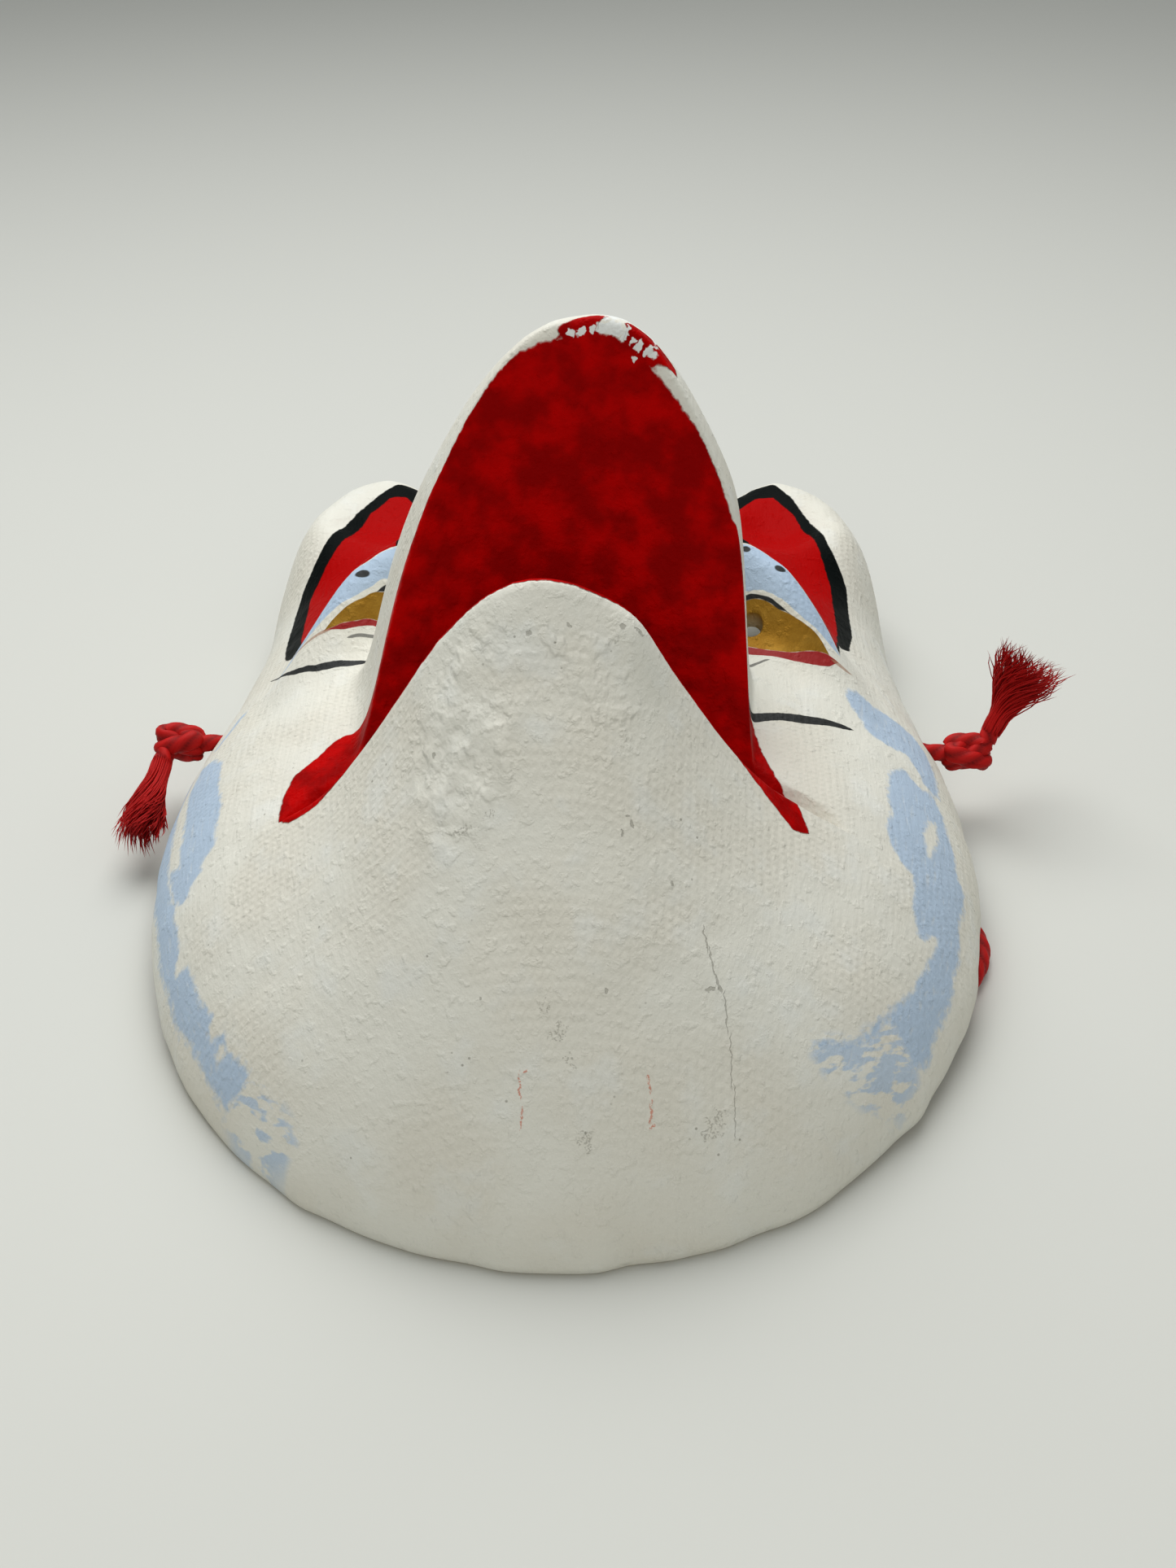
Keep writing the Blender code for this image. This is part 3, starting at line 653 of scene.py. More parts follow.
def brow_rise(x, y):
    """The raised brow over each eye: a ridge that runs outwards and down the face."""
    out = np.abs(x)
    slope = (BROW_OUTER[1] - BROW_INNER[1]) / (BROW_OUTER[0] - BROW_INNER[0])
    crest = BROW_INNER[1] + slope * (out - BROW_INNER[0])
    length = ease(out, *BROW_STARTS) * (1 - ease(out, *BROW_ENDS))
    width = np.where(y < crest, BROW_FRONT_WIDTH, BROW_BACK_WIDTH)
    return BROW_RISE * length * np.exp(-(((y - crest) / width) ** 2))


def face_height(x, y, inwards):
    """Height of the domed face with its ears and brows, without jaw, mouth or snout."""
    foot = rim_height(x, y) + RIM_EDGE
    ear = ease(y, *EAR_STARTS) * ease(np.abs(x), *EAR_INNER_SIDE)
    reach = DOME_REACH + (EAR_REACH - DOME_REACH) * ear
    ear_top = EAR_FACE_HEIGHT - EAR_TIP_DROP * ease(y, EAR_STARTS[0], LENGTH)
    ceiling = DOME_HEIGHT + (ear_top - DOME_HEIGHT) * ear
    part = np.clip(inwards / reach, 0, 1)
    rise = (1 - (1 - part) ** DOME_BULGE) ** DOME_SHOULDER
    return foot + (ceiling - foot) * rise + brow_rise(x, y) - ear_dish(x, y)


def skin_height(x, y):
    """Height of the mask's outer skin over a plan place: jaw, mouth and snout joined."""
    inwards = rim_distance(x, y)
    face = face_height(x, y, inwards)
    corner = MOUTH_CORNER_BLEND * MOUTH_HALF_WIDTH
    in_mouth = 1 - ease(np.abs(x - MOUTH_LEAN), corner, MOUTH_HALF_WIDTH)
    chin = face + jaw_rise(x, y)
    jaw_wall = face + jaw_rise(x, LIP_LINE) - JAW_INNER_SLOPE * (y - LIP_LINE)
    lower = soft_min(chin, jaw_wall, LIP_ROUNDING * in_mouth + LEAST_ROUNDING)
    nose = np.exp(-(((x - SNOUT_LEAN) / NOSE_HALF_WIDTH) ** 2))
    edge = LIP_ROUNDING + (NOSE_ROUNDING - LIP_ROUNDING) * nose
    snout = face + snout_rise(x, y, inwards)
    upper = soft_min(snout, palate_height(y), edge * in_mouth + LEAST_ROUNDING)
    return soft_max(lower, upper, GROOVE_ROUNDING * in_mouth + LEAST_ROUNDING)


# %% [markdown]
# A square grid would cut the lips into steps, so the rows of this one follow them. There
# is a row on the lower lip, one in the groove and one on the upper lip, and more rows are
# spread evenly between them and out to the rim.

# %% Grid that follows the lips
COLUMNS = 264
CHIN_ROWS = 72
JAW_WALL_ROWS = 20
PALATE_ROWS = 56
FACE_ROWS = 132
FAN_STARTS = 0.062
FAN_CORNER = 0.074
FAN_ENDS = 0.092
FAN_LENGTH = 0.028
EAR_ROW_STARTS = 0.170
LEAST_ROW_GAP = 0.0006
FACE_ROW_SPREAD = 1.12
LIP_PLACES = 801
SETTLING_STEPS = 30


def lip_rows():
    """Plan rows that follow the lower lip, the groove and the upper lip, and fan to the rim.

    The upper lip is where palate and snout are level, found by stepping towards it; the
    groove is where the jaw's wall meets the palate, found by halving.
    """
    x = np.linspace(-1, 1, LIP_PLACES) * half_width(FAN_ENDS)
    y = np.full_like(x, LIP_LINE)
    for _ in range(SETTLING_STEPS):
        inwards = rim_distance(x, y)
        height = face_height(x, y, inwards) + snout_rise(x, y, inwards)
        forward = np.clip((height - MOUTH_CORNER_HEIGHT) / PALATE_RISE, 0, 1)
        y = 0.5 * y + 0.5 * (LIP_LINE + PALATE_RUN * forward**PALATE_CURVE)
    out = np.clip((np.abs(x - MOUTH_LEAN) - MOUTH_HALF_WIDTH) / FAN_LENGTH, 0, 1)
    lower = LIP_LINE + (FAN_CORNER - LIP_LINE) * out
    upper = np.maximum(y * (1 - out) + FAN_ENDS * out, lower + 2 * LEAST_ROW_GAP)
    low, high = lower.copy(), upper.copy()
    for _ in range(SETTLING_STEPS):
        middle = (low + high) / 2
        wall = jaw_rise(x, LIP_LINE) - JAW_INNER_SLOPE * (middle - LIP_LINE)
        face = face_height(x, middle, rim_distance(x, middle))
        above = face + wall > palate_height(middle)
        low = np.where(above, middle, low)
        high = np.where(above, high, middle)
    groove = lower + (upper - lower) * 0.5 * out + (low - lower) * (1 - out)
    groove = np.clip(groove, lower + LEAST_ROW_GAP, upper - LEAST_ROW_GAP)
    arch = np.stack([x, upper, skin_height(x, upper)], axis=1)
    chosen = evenly(arch, COLUMNS + 1)[:, 0]
    rows = []
    for line in (lower, groove, upper):
        y_row = np.interp(chosen, x, line)
        narrower = half_width(y_row[0]) / half_width(FAN_ENDS)
        rows.append(np.stack([chosen * narrower, y_row], axis=1))
    return rows


def both_sides(right):
    """Evenly spaced plan points along a right-hand line and its mirror image, left to right."""
    left = right[:0:-1] * (-1, 1)
    return evenly(np.vstack([left, right]), COLUMNS + 1)


def plan_grid():
    """Plan places of the whole shell: rows from the chin to the ears, columns across."""
    lower, groove, upper = lip_rows()
    below = RIGHT_SIDE[RIGHT_SIDE[:, 1] < FAN_STARTS]
    chin = both_sides(np.vstack([below, (half_width(FAN_STARTS), FAN_STARTS)]))
    beyond = OUTLINE[OUTLINE[:, 1] > EAR_ROW_STARTS]
    ears = both_sides(np.vstack([beyond[::-1], (half_width(EAR_ROW_STARTS), EAR_ROW_STARTS)]))
    stretches = [
        (chin, lower, np.linspace(0, 1, CHIN_ROWS + 1)),
        (lower, groove, np.linspace(0, 1, JAW_WALL_ROWS + 1)),
        (groove, upper, np.linspace(0, 1, PALATE_ROWS + 1)),
        (upper, ears, np.linspace(0, 1, FACE_ROWS + 1) ** FACE_ROW_SPREAD),
    ]
    rows = [chin]
    for before, after, shares in stretches:
        for share in shares[1:]:
            row = before + (after - before) * share
            if share < 1:
                row[:, 0] *= half_width(row[0, 1]) / row[-1, 0]
            rows.append(row)
    return np.array(rows)


plan = plan_grid()
print("skin grid:", plan.shape[0], "rows,", plan.shape[1], "columns")

# %% [markdown]
# The inner wall is the outer skin lowered by a ball as thick as the wall: each place takes
# the lowest of the ball's own depths under the skin around it. It needs fewer points.
# Near the rim its places are drawn inwards by the wall's thickness.

# %% Inner wall
LINING_STRIDE = 4
DRAWING_IN_STEPS = 24
DRAWN_IN_REACH = 4
DRAWING_PUSH = 0.5
PROBE_SHARE = 1 / 8
LEAST_SLOPE = 0.2
NOT_ZERO = 1e-9
LINING_RINGS = (0.4, 0.7, 0.9, 1.0)
LINING_DIRECTIONS = 10


def lining_height(x, y):
    """The inner wall's height: the skin's height less the depth of the ball at each place."""
    lowest = skin_height(x, y) - WALL
    for share in LINING_RINGS:
        radius = WALL * share
        depth = WALL * np.sqrt(1 - share**2)
        for turn in np.linspace(0, 2 * np.pi, LINING_DIRECTIONS, endpoint=False):
            beside = skin_height(x + radius * np.cos(turn), y + radius * np.sin(turn))
            lowest = np.minimum(lowest, beside - depth)
    return lowest


def drawn_in(grid, distance):
    """The grid with its places near the outline moved inwards, by the distance at the rim."""
    reach = DRAWN_IN_REACH * distance
    step = distance * PROBE_SHARE
    inwards = rim_distance(grid[..., 0], grid[..., 1])
    moved = grid.copy()
    for _ in range(DRAWING_IN_STEPS):
        x, y = moved[..., 0], moved[..., 1]
        wanted = inwards + distance * np.clip(1 - inwards / reach, 0, 1)
        here = rim_distance(x, y)
        slope_x = rim_distance(x + step, y) - rim_distance(x - step, y)
        slope_y = rim_distance(x, y + step) - rim_distance(x, y - step)
        size = np.maximum(np.hypot(slope_x, slope_y), NOT_ZERO)
        push = np.clip(wanted - here, -distance, distance) * DRAWING_PUSH
        flat = size < step * LEAST_SLOPE
        moved[..., 0] += np.where(flat, -np.sign(x) * step, push * slope_x / size)
        moved[..., 1] += np.where(flat, 0, push * slope_y / size)
    return moved


coarse = drawn_in(plan[::LINING_STRIDE, ::LINING_STRIDE], WALL)
lining = np.dstack([coarse, lining_height(coarse[..., 0], coarse[..., 1])])
print("inner wall:", lining.shape[0], "rows,", lining.shape[1], "columns")

# %% [markdown]
# Wet paper never dries even. Wide lumps a few tenths of a millimetre high come from the
# layers below, a patch left of the jaw's middle keeps ridges of thick ground, and the
# lip has two larger lumps. The lumps of a layer have a size, a height and a random seed:
# they are random heights on a square lattice, eased from one lattice point to the next.

# %% Unevenness of the hand
LAYER_LUMPS = [
    (0.026, 0.00045, 1), (0.011, 0.00032, 2), (0.0048, 0.00016, 3), (0.0026, 0.00007, 6),
]
RIDGE_PATCH = (-0.0165, 0.0590, 0.0105, 0.0150)
RIDGE_SIZE = 0.0034
RIDGE_HEIGHT = 0.0011
RIDGE_SHARPNESS = 2.2
RIDGE_SLANT = (0.35, 0.8)
RIDGE_SEED = 5
RIM_SEED = 4
LIP_LUMPS = [(0.0140, 0.0715, 0.0038, 0.0030), (-0.0040, 0.0720, 0.0060, 0.0009)]
RIM_WOBBLE = 0.0006
RIM_WOBBLE_SIZE = 0.0075
LATTICE = 256


def random_lumps(x, y, size, seed):
    """Smooth random heights from -1 to 1 over the plan, about a size from one to the next."""
    table = np.random.default_rng(seed).uniform(-1, 1, (LATTICE, LATTICE))
    across, along = x / size + LATTICE / 4, y / size + LATTICE / 4
    column, row = np.floor(across).astype(int), np.floor(along).astype(int)
    right, ahead = ease(across - column, 0, 1), ease(along - row, 0, 1)
    near = table[row, column] * (1 - right) + table[row, column + 1] * right
    far = table[row + 1, column] * (1 - right) + table[row + 1, column + 1] * right
    return near * (1 - ahead) + far * ahead


def unevenness(x, y):
    """How far the hand-laid skin stands over the smooth formula."""
    rise = sum(height * random_lumps(x, y, size, seed) for size, height, seed in LAYER_LUMPS)
    middle_x, middle_y, reach_x, reach_y = RIDGE_PATCH
    in_patch = np.exp(-(((x - middle_x) / reach_x) ** 4) - ((y - middle_y) / reach_y) ** 4)
    slanted = y * RIDGE_SLANT[1] + x * RIDGE_SLANT[0]
    ridges = 1 - RIDGE_SHARPNESS * np.abs(random_lumps(x, slanted, RIDGE_SIZE, RIDGE_SEED))
    rise = rise + RIDGE_HEIGHT * in_patch * np.clip(ridges, 0, 1)
    for lump_x, lump_y, reach, height in LIP_LUMPS:
        rise = rise + height * np.exp(-((x - lump_x) ** 2 + (y - lump_y) ** 2) / reach**2)
    return rise * ease(rim_distance(x, y), 0, WALL)


def rim_wobble(places):
    """How far plan places near the rim move in or out, so that the edge is slightly wavy."""
    beside_rim = 1 - ease(rim_distance(places[:, 0], places[:, 1]), 0, 2 * WALL)
    lumps = random_lumps(places[:, 0], places[:, 1], RIM_WOBBLE_SIZE, RIM_SEED)
    reach = RIM_WOBBLE * lumps * beside_rim
    outwards = places - (0, CHIN_TO_WIDEST)
    return outwards / np.linalg.norm(outwards, axis=1, keepdims=True) * reach[:, None]


# %% [markdown]
# Skin, rim and inner wall are joined into one closed shell. The rim's edge is rounded:
# from the skin's last ring the wall turns under in two small steps to its foot.

# %% Join the shell
RIM_ROUNDING = 0.0007


def border(rows, columns):
    """Point numbers of a grid's outer ring, walked once round, anticlockwise from above."""
    numbers = np.arange(rows * columns).reshape(rows, columns)
    ring = [numbers[0], numbers[1:, -1], numbers[-1, -2::-1], numbers[-2:0:-1, 0]]
    return np.concatenate(ring)


def joined_shell(skin, lining):
    """Points and faces of the closed shell.

    Below the skin's border come a ring at the rim's side, one at its foot and the inner
    wall's own border, which has one point for every few of the foot's.
    """
    outer_ring = border(*skin.shape[:2])
    inner_ring = border(*lining.shape[:2])
    top = skin.reshape(-1, 3)
    flat = lining.reshape(-1, 3).copy()
    foot = top[outer_ring]
    foot[:, 2] = rim_height(foot[:, 0], foot[:, 1])
    flat[inner_ring, 2] = foot[::LINING_STRIDE, 2]
    side_ring = foot + (0, 0, RIM_ROUNDING)
    count = len(outer_ring)
    near = np.arange(count)
    after = (near + 1) % count
    first_side = len(top)
    first_foot = first_side + count
    first_inner = first_foot + count
    beside = inner_ring[near // LINING_STRIDE]
    inner_near = beside + first_inner
    inward = flat[beside, :2] - foot[:, :2]
    inward /= np.linalg.norm(inward, axis=1, keepdims=True)
    foot[:, :2] += RIM_ROUNDING * inward
    last = near[LINING_STRIDE - 1 :: LINING_STRIDE]
    inner_after = inner_ring[(last // LINING_STRIDE + 1) % len(inner_ring)] + first_inner
    faces = [*quads(*skin.shape[:2]), *(quads(*lining.shape[:2])[:, ::-1] + first_inner)]
    for corners in (
        [outer_ring, near + first_side, after + first_side, outer_ring[after]],
        [near + first_side, near + first_foot, after + first_foot, after + first_side],
        [near + first_foot, inner_near, after + first_foot],
        [inner_near[last], inner_after, after[last] + first_foot],
    ):
        faces += [*np.stack(corners, axis=1)]
    return np.vstack([top, side_ring, foot, flat]), faces


skin_z = skin_height(plan[..., 0], plan[..., 1]) + unevenness(plan[..., 0], plan[..., 1])
shell_points, shell_faces = joined_shell(np.dstack([plan, skin_z]), lining)
shell_points[:, :2] += rim_wobble(shell_points[:, :2])
shell_points[:, 1] -= MIDDLE
print("shell:", len(shell_points), "points,", skin_z.size, "of them on the skin")

# %% [markdown]
# The mask is one piece of pasted paper and gauze under shell white. Its material is empty
# here, and the finish below fills it once the holes are cut.

# %% The mask
finish, tree, shader = new_material("shell white and pigment on pasted paper and gauze")
mask = add_piece("mask_skin", shell_points, shell_faces, finish, ["mask_shell"])

# %% [markdown]
# The eye and cord holes are cut with round bars, as they are punched in the real mask.
# The cuts are applied, so that the finish can be worked out for the points they leave.

# %% Holes
EYE_PLACE = (0.0380, 0.1355)
PUPIL_DIAMETER = 0.0050
PUPIL_BAR = 0.050
CORD_HOLE_DIAMETER = 0.0056
CORD_HOLE_PLACE = 0.1385
CORD_HOLE_HEIGHT = 0.0150
CORD_HOLE_BAR = 0.024
BAR_SIDES = 36


def bar(middle, along, diameter, length):
    """Points of a round bar: two rings, a length apart, square to one of the axes."""
    angle = np.linspace(0, 2 * np.pi, BAR_SIDES, endpoint=False)
    ring = diameter / 2 * np.stack([np.cos(angle), np.sin(angle), 0 * angle], axis=1)
    ends = np.stack([ring - (0, 0, length / 2), ring + (0, 0, length / 2)])
    if along == "x":
        ends = ends[..., [2, 0, 1]]
    return ends + middle


bars = []
for sign in (-1, 1):
    eye = (sign * EYE_PLACE[0], EYE_PLACE[1] - MIDDLE, DOME_HEIGHT)
    bars.append(bar(eye, "z", PUPIL_DIAMETER, PUPIL_BAR))
    hole = (sign * half_width(CORD_HOLE_PLACE), CORD_HOLE_PLACE - MIDDLE, CORD_HOLE_HEIGHT)
    bars.append(bar(hole, "x", CORD_HOLE_DIAMETER, CORD_HOLE_BAR))
bar_faces = []
for number in range(len(bars)):
    first = 2 * BAR_SIDES * number
    bar_faces += [tuple(q) for q in quads(2, BAR_SIDES, wraps=True) + first]
    bar_faces += [tuple(range(first + BAR_SIDES - 1, first - 1, -1))]
    bar_faces += [tuple(range(first + BAR_SIDES, first + 2 * BAR_SIDES))]
bar_mesh = bpy.data.meshes.new("bars")
bar_mesh.from_pydata(np.array(bars).reshape(-1, 3).tolist(), [], bar_faces)
cutter = bpy.data.objects.new("bars", bar_mesh)
bpy.context.collection.objects.link(cutter)
cut = mask.modifiers.new("holes", "BOOLEAN")
cut.operation = "DIFFERENCE"
cut.solver = "EXACT"
cut.object = cutter
with bpy.context.temp_override(object=mask, active_object=mask):
    bpy.ops.object.modifier_apply(modifier=cut.name)
bpy.data.objects.remove(cutter, do_unlink=True)
print("holes cut:", len(mask.data.polygons), "faces left")

# %% [markdown]
# ## Where the brush went
#
# Each painted form is an outline in plan, in millimetres: x from the middle line and y from
# the chin's rim. Broad forms are closed outlines, and a point of the skin keeps how far it
# lies inside them. Thin brush lines would fall between the points of the grid, so each has
# an upper and a lower edge instead, as curves over x. The skin keeps its offset from each
# edge, which changes evenly from point to point, and the finish compares the two.

# %% Closed outlines
PALATE = [
    (-5.9, 114.9), (-9.1, 114.5), (-14.1, 113.0), (-18.7, 110.9), (-22.4, 108.8), (-26.0, 107.2),
    (-27.4, 105.9), (-29.6, 104.5), (-32.0, 103.0), (-34.5, 101.0), (-37.0, 99.0), (-39.5, 97.5),
    (-42.0, 97.0), (-44.5, 97.5), (-46.4, 96.0), (-48.6, 93.3), (-51.0, 91.4), (-53.2, 89.5),
    (-54.5, 84.4), (-54.8, 79.0), (-54.5, 75.5), (-52.1, 73.2), (-46.2, 72.9), (-43.0, 74.0),
    (-39.4, 74.4), (-13.0, 74.6), (0.0, 74.5), (8.0, 74.5), (32.0, 74.5), (35.1, 73.2),
    (37.8, 71.8), (40.6, 69.8), (43.5, 67.7), (46.8, 69.2), (45.3, 73.1), (44.0, 77.0),
    (42.6, 81.9), (40.8, 85.3), (39.5, 89.4), (38.2, 93.8), (37.6, 98.0), (36.9, 101.0),
    (35.9, 103.0), (34.5, 104.2), (33.0, 105.0), (31.8, 105.1), (28.5, 108.0), (25.3, 110.2),
    (20.2, 112.2), (17.6, 113.2), (16.2, 113.6), (14.0, 114.5), (11.5, 114.9), (10.0, 115.4),
    (6.2, 115.7), (3.0, 115.5), (-0.5, 115.4), (-3.0, 115.2),
]
NOSE_LEFT = [
    (-1.8, 116.3), (0.1, 117.2), (3.2, 118.2), (6.4, 118.8), (8.6, 119.2), (7.0, 117.6),
    (5.8, 116.6), (5.8, 116.0), (6.2, 115.3), (4.3, 114.8), (0.1, 114.8), (-0.5, 115.4),
]
NOSE_RIGHT = [
    (10.6, 117.3), (11.6, 119.0), (14.0, 119.2), (16.5, 119.0), (18.6, 118.4), (20.3, 117.4),
    (20.6, 115.0), (18.9, 114.2), (17.0, 114.1), (16.1, 113.6), (14.0, 114.2), (11.5, 114.6),
    (10.6, 115.3), (11.2, 116.6),
]
RIGHT_EAR = [
    (56.8, 132.0), (57.5, 140.0), (58.5, 147.0), (60.8, 150.5), (62.8, 163.0), (62.9, 174.3),
    (63.0, 183.8), (61.6, 188.3), (59.1, 194.2), (56.6, 205.7), (52.2, 218.3), (47.5, 226.5),
    (42.5, 226.2), (38.0, 221.0), (33.5, 209.0), (31.5, 196.0), (31.5, 182.0), (33.0, 168.0),
    (35.5, 157.0), (36.0, 140.0), (50.0, 128.0),
]
RIGHT_EAR_RED = [
    (56.2, 132.0), (56.6, 140.0), (58.0, 150.0), (58.8, 160.0), (58.8, 169.7), (58.8, 180.8),
    (57.3, 188.4), (55.2, 200.7), (51.9, 212.8), (47.3, 219.7), (43.0, 219.5), (39.0, 214.0),
    (36.0, 203.0), (34.5, 192.0), (34.5, 180.0), (36.0, 168.0), (37.5, 158.0), (38.0, 140.0),
    (50.0, 128.0),
]
LEFT_EAR = [
    (-56.0, 132.0), (-61.0, 142.0), (-64.0, 149.0), (-65.2, 157.0), (-65.4, 165.0),
    (-65.6, 175.0), (-64.6, 183.0), (-61.4, 190.5), (-57.2, 200.5), (-54.3, 210.6),
    (-50.2, 218.4), (-45.5, 225.0), (-41.0, 224.0), (-38.0, 219.0), (-34.0, 208.0),
    (-32.0, 195.0), (-32.0, 182.0), (-33.5, 168.0), (-36.0, 157.0), (-36.0, 140.0),
    (-48.0, 128.0),
]
LEFT_EAR_RED = [
    (-55.5, 132.0), (-59.0, 143.0), (-61.0, 155.0), (-61.5, 165.0), (-61.8, 176.7),
    (-59.2, 184.9), (-54.6, 196.8), (-51.3, 211.0), (-47.0, 218.0), (-43.0, 217.8),
    (-39.5, 212.0), (-37.0, 200.0), (-35.5, 190.0), (-35.5, 180.0), (-36.5, 168.0),
    (-38.0, 158.0), (-38.0, 140.0), (-48.0, 128.0),
]
BLUE_BANDS = [
    [
        (57.9, 124.8), (59.9, 126.5), (63.2, 127.0), (68.1, 129.3), (73.5, 130.3), (76.2, 127.2),
        (77.4, 121.8), (77.4, 113.9), (77.2, 109.2), (75.4, 107.7), (73.6, 109.1), (72.1, 113.5),
        (70.4, 115.6), (66.4, 113.6), (62.0, 113.4), (59.9, 118.2), (57.7, 122.0),
    ],
    [
        (65.4, 103.0), (69.0, 108.1), (72.5, 105.6), (75.4, 107.7), (76.9, 104.1), (77.5, 98.4),
        (78.6, 93.8), (78.7, 86.3), (79.8, 84.1), (79.2, 78.4), (77.4, 73.6), (77.5, 70.7),
        (77.1, 65.5), (75.5, 61.3), (75.0, 57.6), (73.2, 52.8), (70.8, 48.2), (70.2, 45.5),
        (68.3, 41.8), (66.4, 39.9), (63.0, 42.0), (60.0, 40.6), (57.0, 37.0), (53.0, 33.6),
        (48.0, 30.8), (46.5, 31.6), (52.5, 34.6), (55.3, 36.4), (58.8, 41.3), (63.0, 46.5),
        (66.7, 51.5), (67.4, 53.9), (69.4, 57.4), (71.5, 62.3), (72.3, 65.6), (69.1, 62.4),
        (67.9, 62.5), (67.3, 66.7), (67.9, 71.6), (67.9, 74.9), (65.4, 76.3), (63.3, 79.8),
        (63.4, 84.6), (64.7, 89.1), (64.3, 94.2),
    ],
    [
        (-78.4, 119.0), (-75.0, 116.0), (-72.0, 110.0), (-70.8, 100.0), (-69.0, 93.0),
        (-69.2, 87.5), (-68.5, 81.0), (-70.7, 79.6), (-70.8, 76.9), (-72.6, 75.3), (-73.2, 72.9),
        (-74.7, 72.4), (-76.8, 75.4), (-78.1, 79.8), (-79.8, 86.5), (-76.8, 83.6), (-77.9, 90.4),
        (-78.0, 95.1), (-79.0, 102.4), (-79.5, 110.0),
    ],
    [
        (-80.6, 122.0), (-84.0, 117.0), (-86.2, 111.2), (-86.2, 102.9), (-86.2, 96.7),
        (-85.6, 91.0), (-81.8, 78.7), (-80.0, 71.5), (-78.5, 64.7), (-76.7, 59.8), (-74.5, 54.3),
        (-73.0, 50.1), (-69.3, 44.7), (-67.0, 40.7), (-66.4, 39.2), (-64.2, 35.7), (-62.6, 33.3),
        (-60.5, 30.7), (-57.6, 30.0), (-55.6, 31.5), (-58.7, 35.1), (-60.7, 36.9), (-60.9, 39.1),
        (-61.4, 40.4), (-63.9, 40.6), (-65.1, 42.6), (-64.2, 44.2), (-67.7, 49.5), (-69.7, 54.3),
        (-71.1, 57.3), (-72.2, 57.9), (-74.3, 58.2), (-73.8, 62.6), (-74.2, 65.5), (-76.1, 71.0),
        (-76.6, 74.5), (-79.0, 82.0), (-80.8, 90.0), (-81.4, 98.0), (-81.8, 106.0), (-81.0, 114.0),
    ],
    [
        (-71.6, 131.0), (-69.4, 131.4), (-72.0, 127.0), (-75.4, 122.6), (-76.4, 123.6),
        (-73.8, 127.6),
    ],
]
BAND_GAPS = [
    [(72.5, 94.1), (74.8, 97.1), (74.8, 91.5), (72.7, 84.0), (71.7, 82.9), (71.4, 89.0)],
    [(60.0, 41.4), (62.5, 43.2), (63.6, 40.6), (62.0, 37.0), (59.0, 35.5), (56.5, 36.0)],
    [(-63.0, 38.6), (-61.5, 39.2), (-61.0, 37.6), (-62.6, 36.4)],
]
DRY_ENDS = [
    [
        (46.0, 32.5), (52.5, 35.5), (57.5, 40.0), (62.5, 45.0), (67.5, 44.0), (67.5, 38.0),
        (64.0, 33.0), (57.0, 28.5), (50.0, 27.0), (45.5, 29.0),
    ],
    [
        (-57.0, 32.0), (-52.7, 28.8), (-49.3, 25.0), (-46.9, 22.0), (-45.0, 18.5), (-48.5, 17.0),
        (-54.0, 20.6), (-59.0, 26.0), (-61.5, 31.0),
    ],
]
BEYOND = 6.0


def inside_any(x, y, outlines):
    """How far inside the nearest of several closed outlines each place lies, in millimetres.

    Outside it is less than nothing, down to a limit, and only places near an outline are
    measured.
    """
    depth = np.full(x.shape, -BEYOND)
    for outline in outlines:
        low = np.min(outline, axis=0) - BEYOND
        high = np.max(outline, axis=0) + BEYOND
        near = (x > low[0]) & (x < high[0]) & (y > low[1]) & (y < high[1])
        if near.any():
            distance, inside = loop_distance(x[near], y[near], outline)
            signed = np.where(inside, distance, -distance)
            depth[near] = np.maximum(depth[near], signed)
    return depth


# %% [markdown]
# Each edge has its points for the right side and then for the left, as distance from the
# middle line and distance from the chin. A stroke ends where its two edges cross.

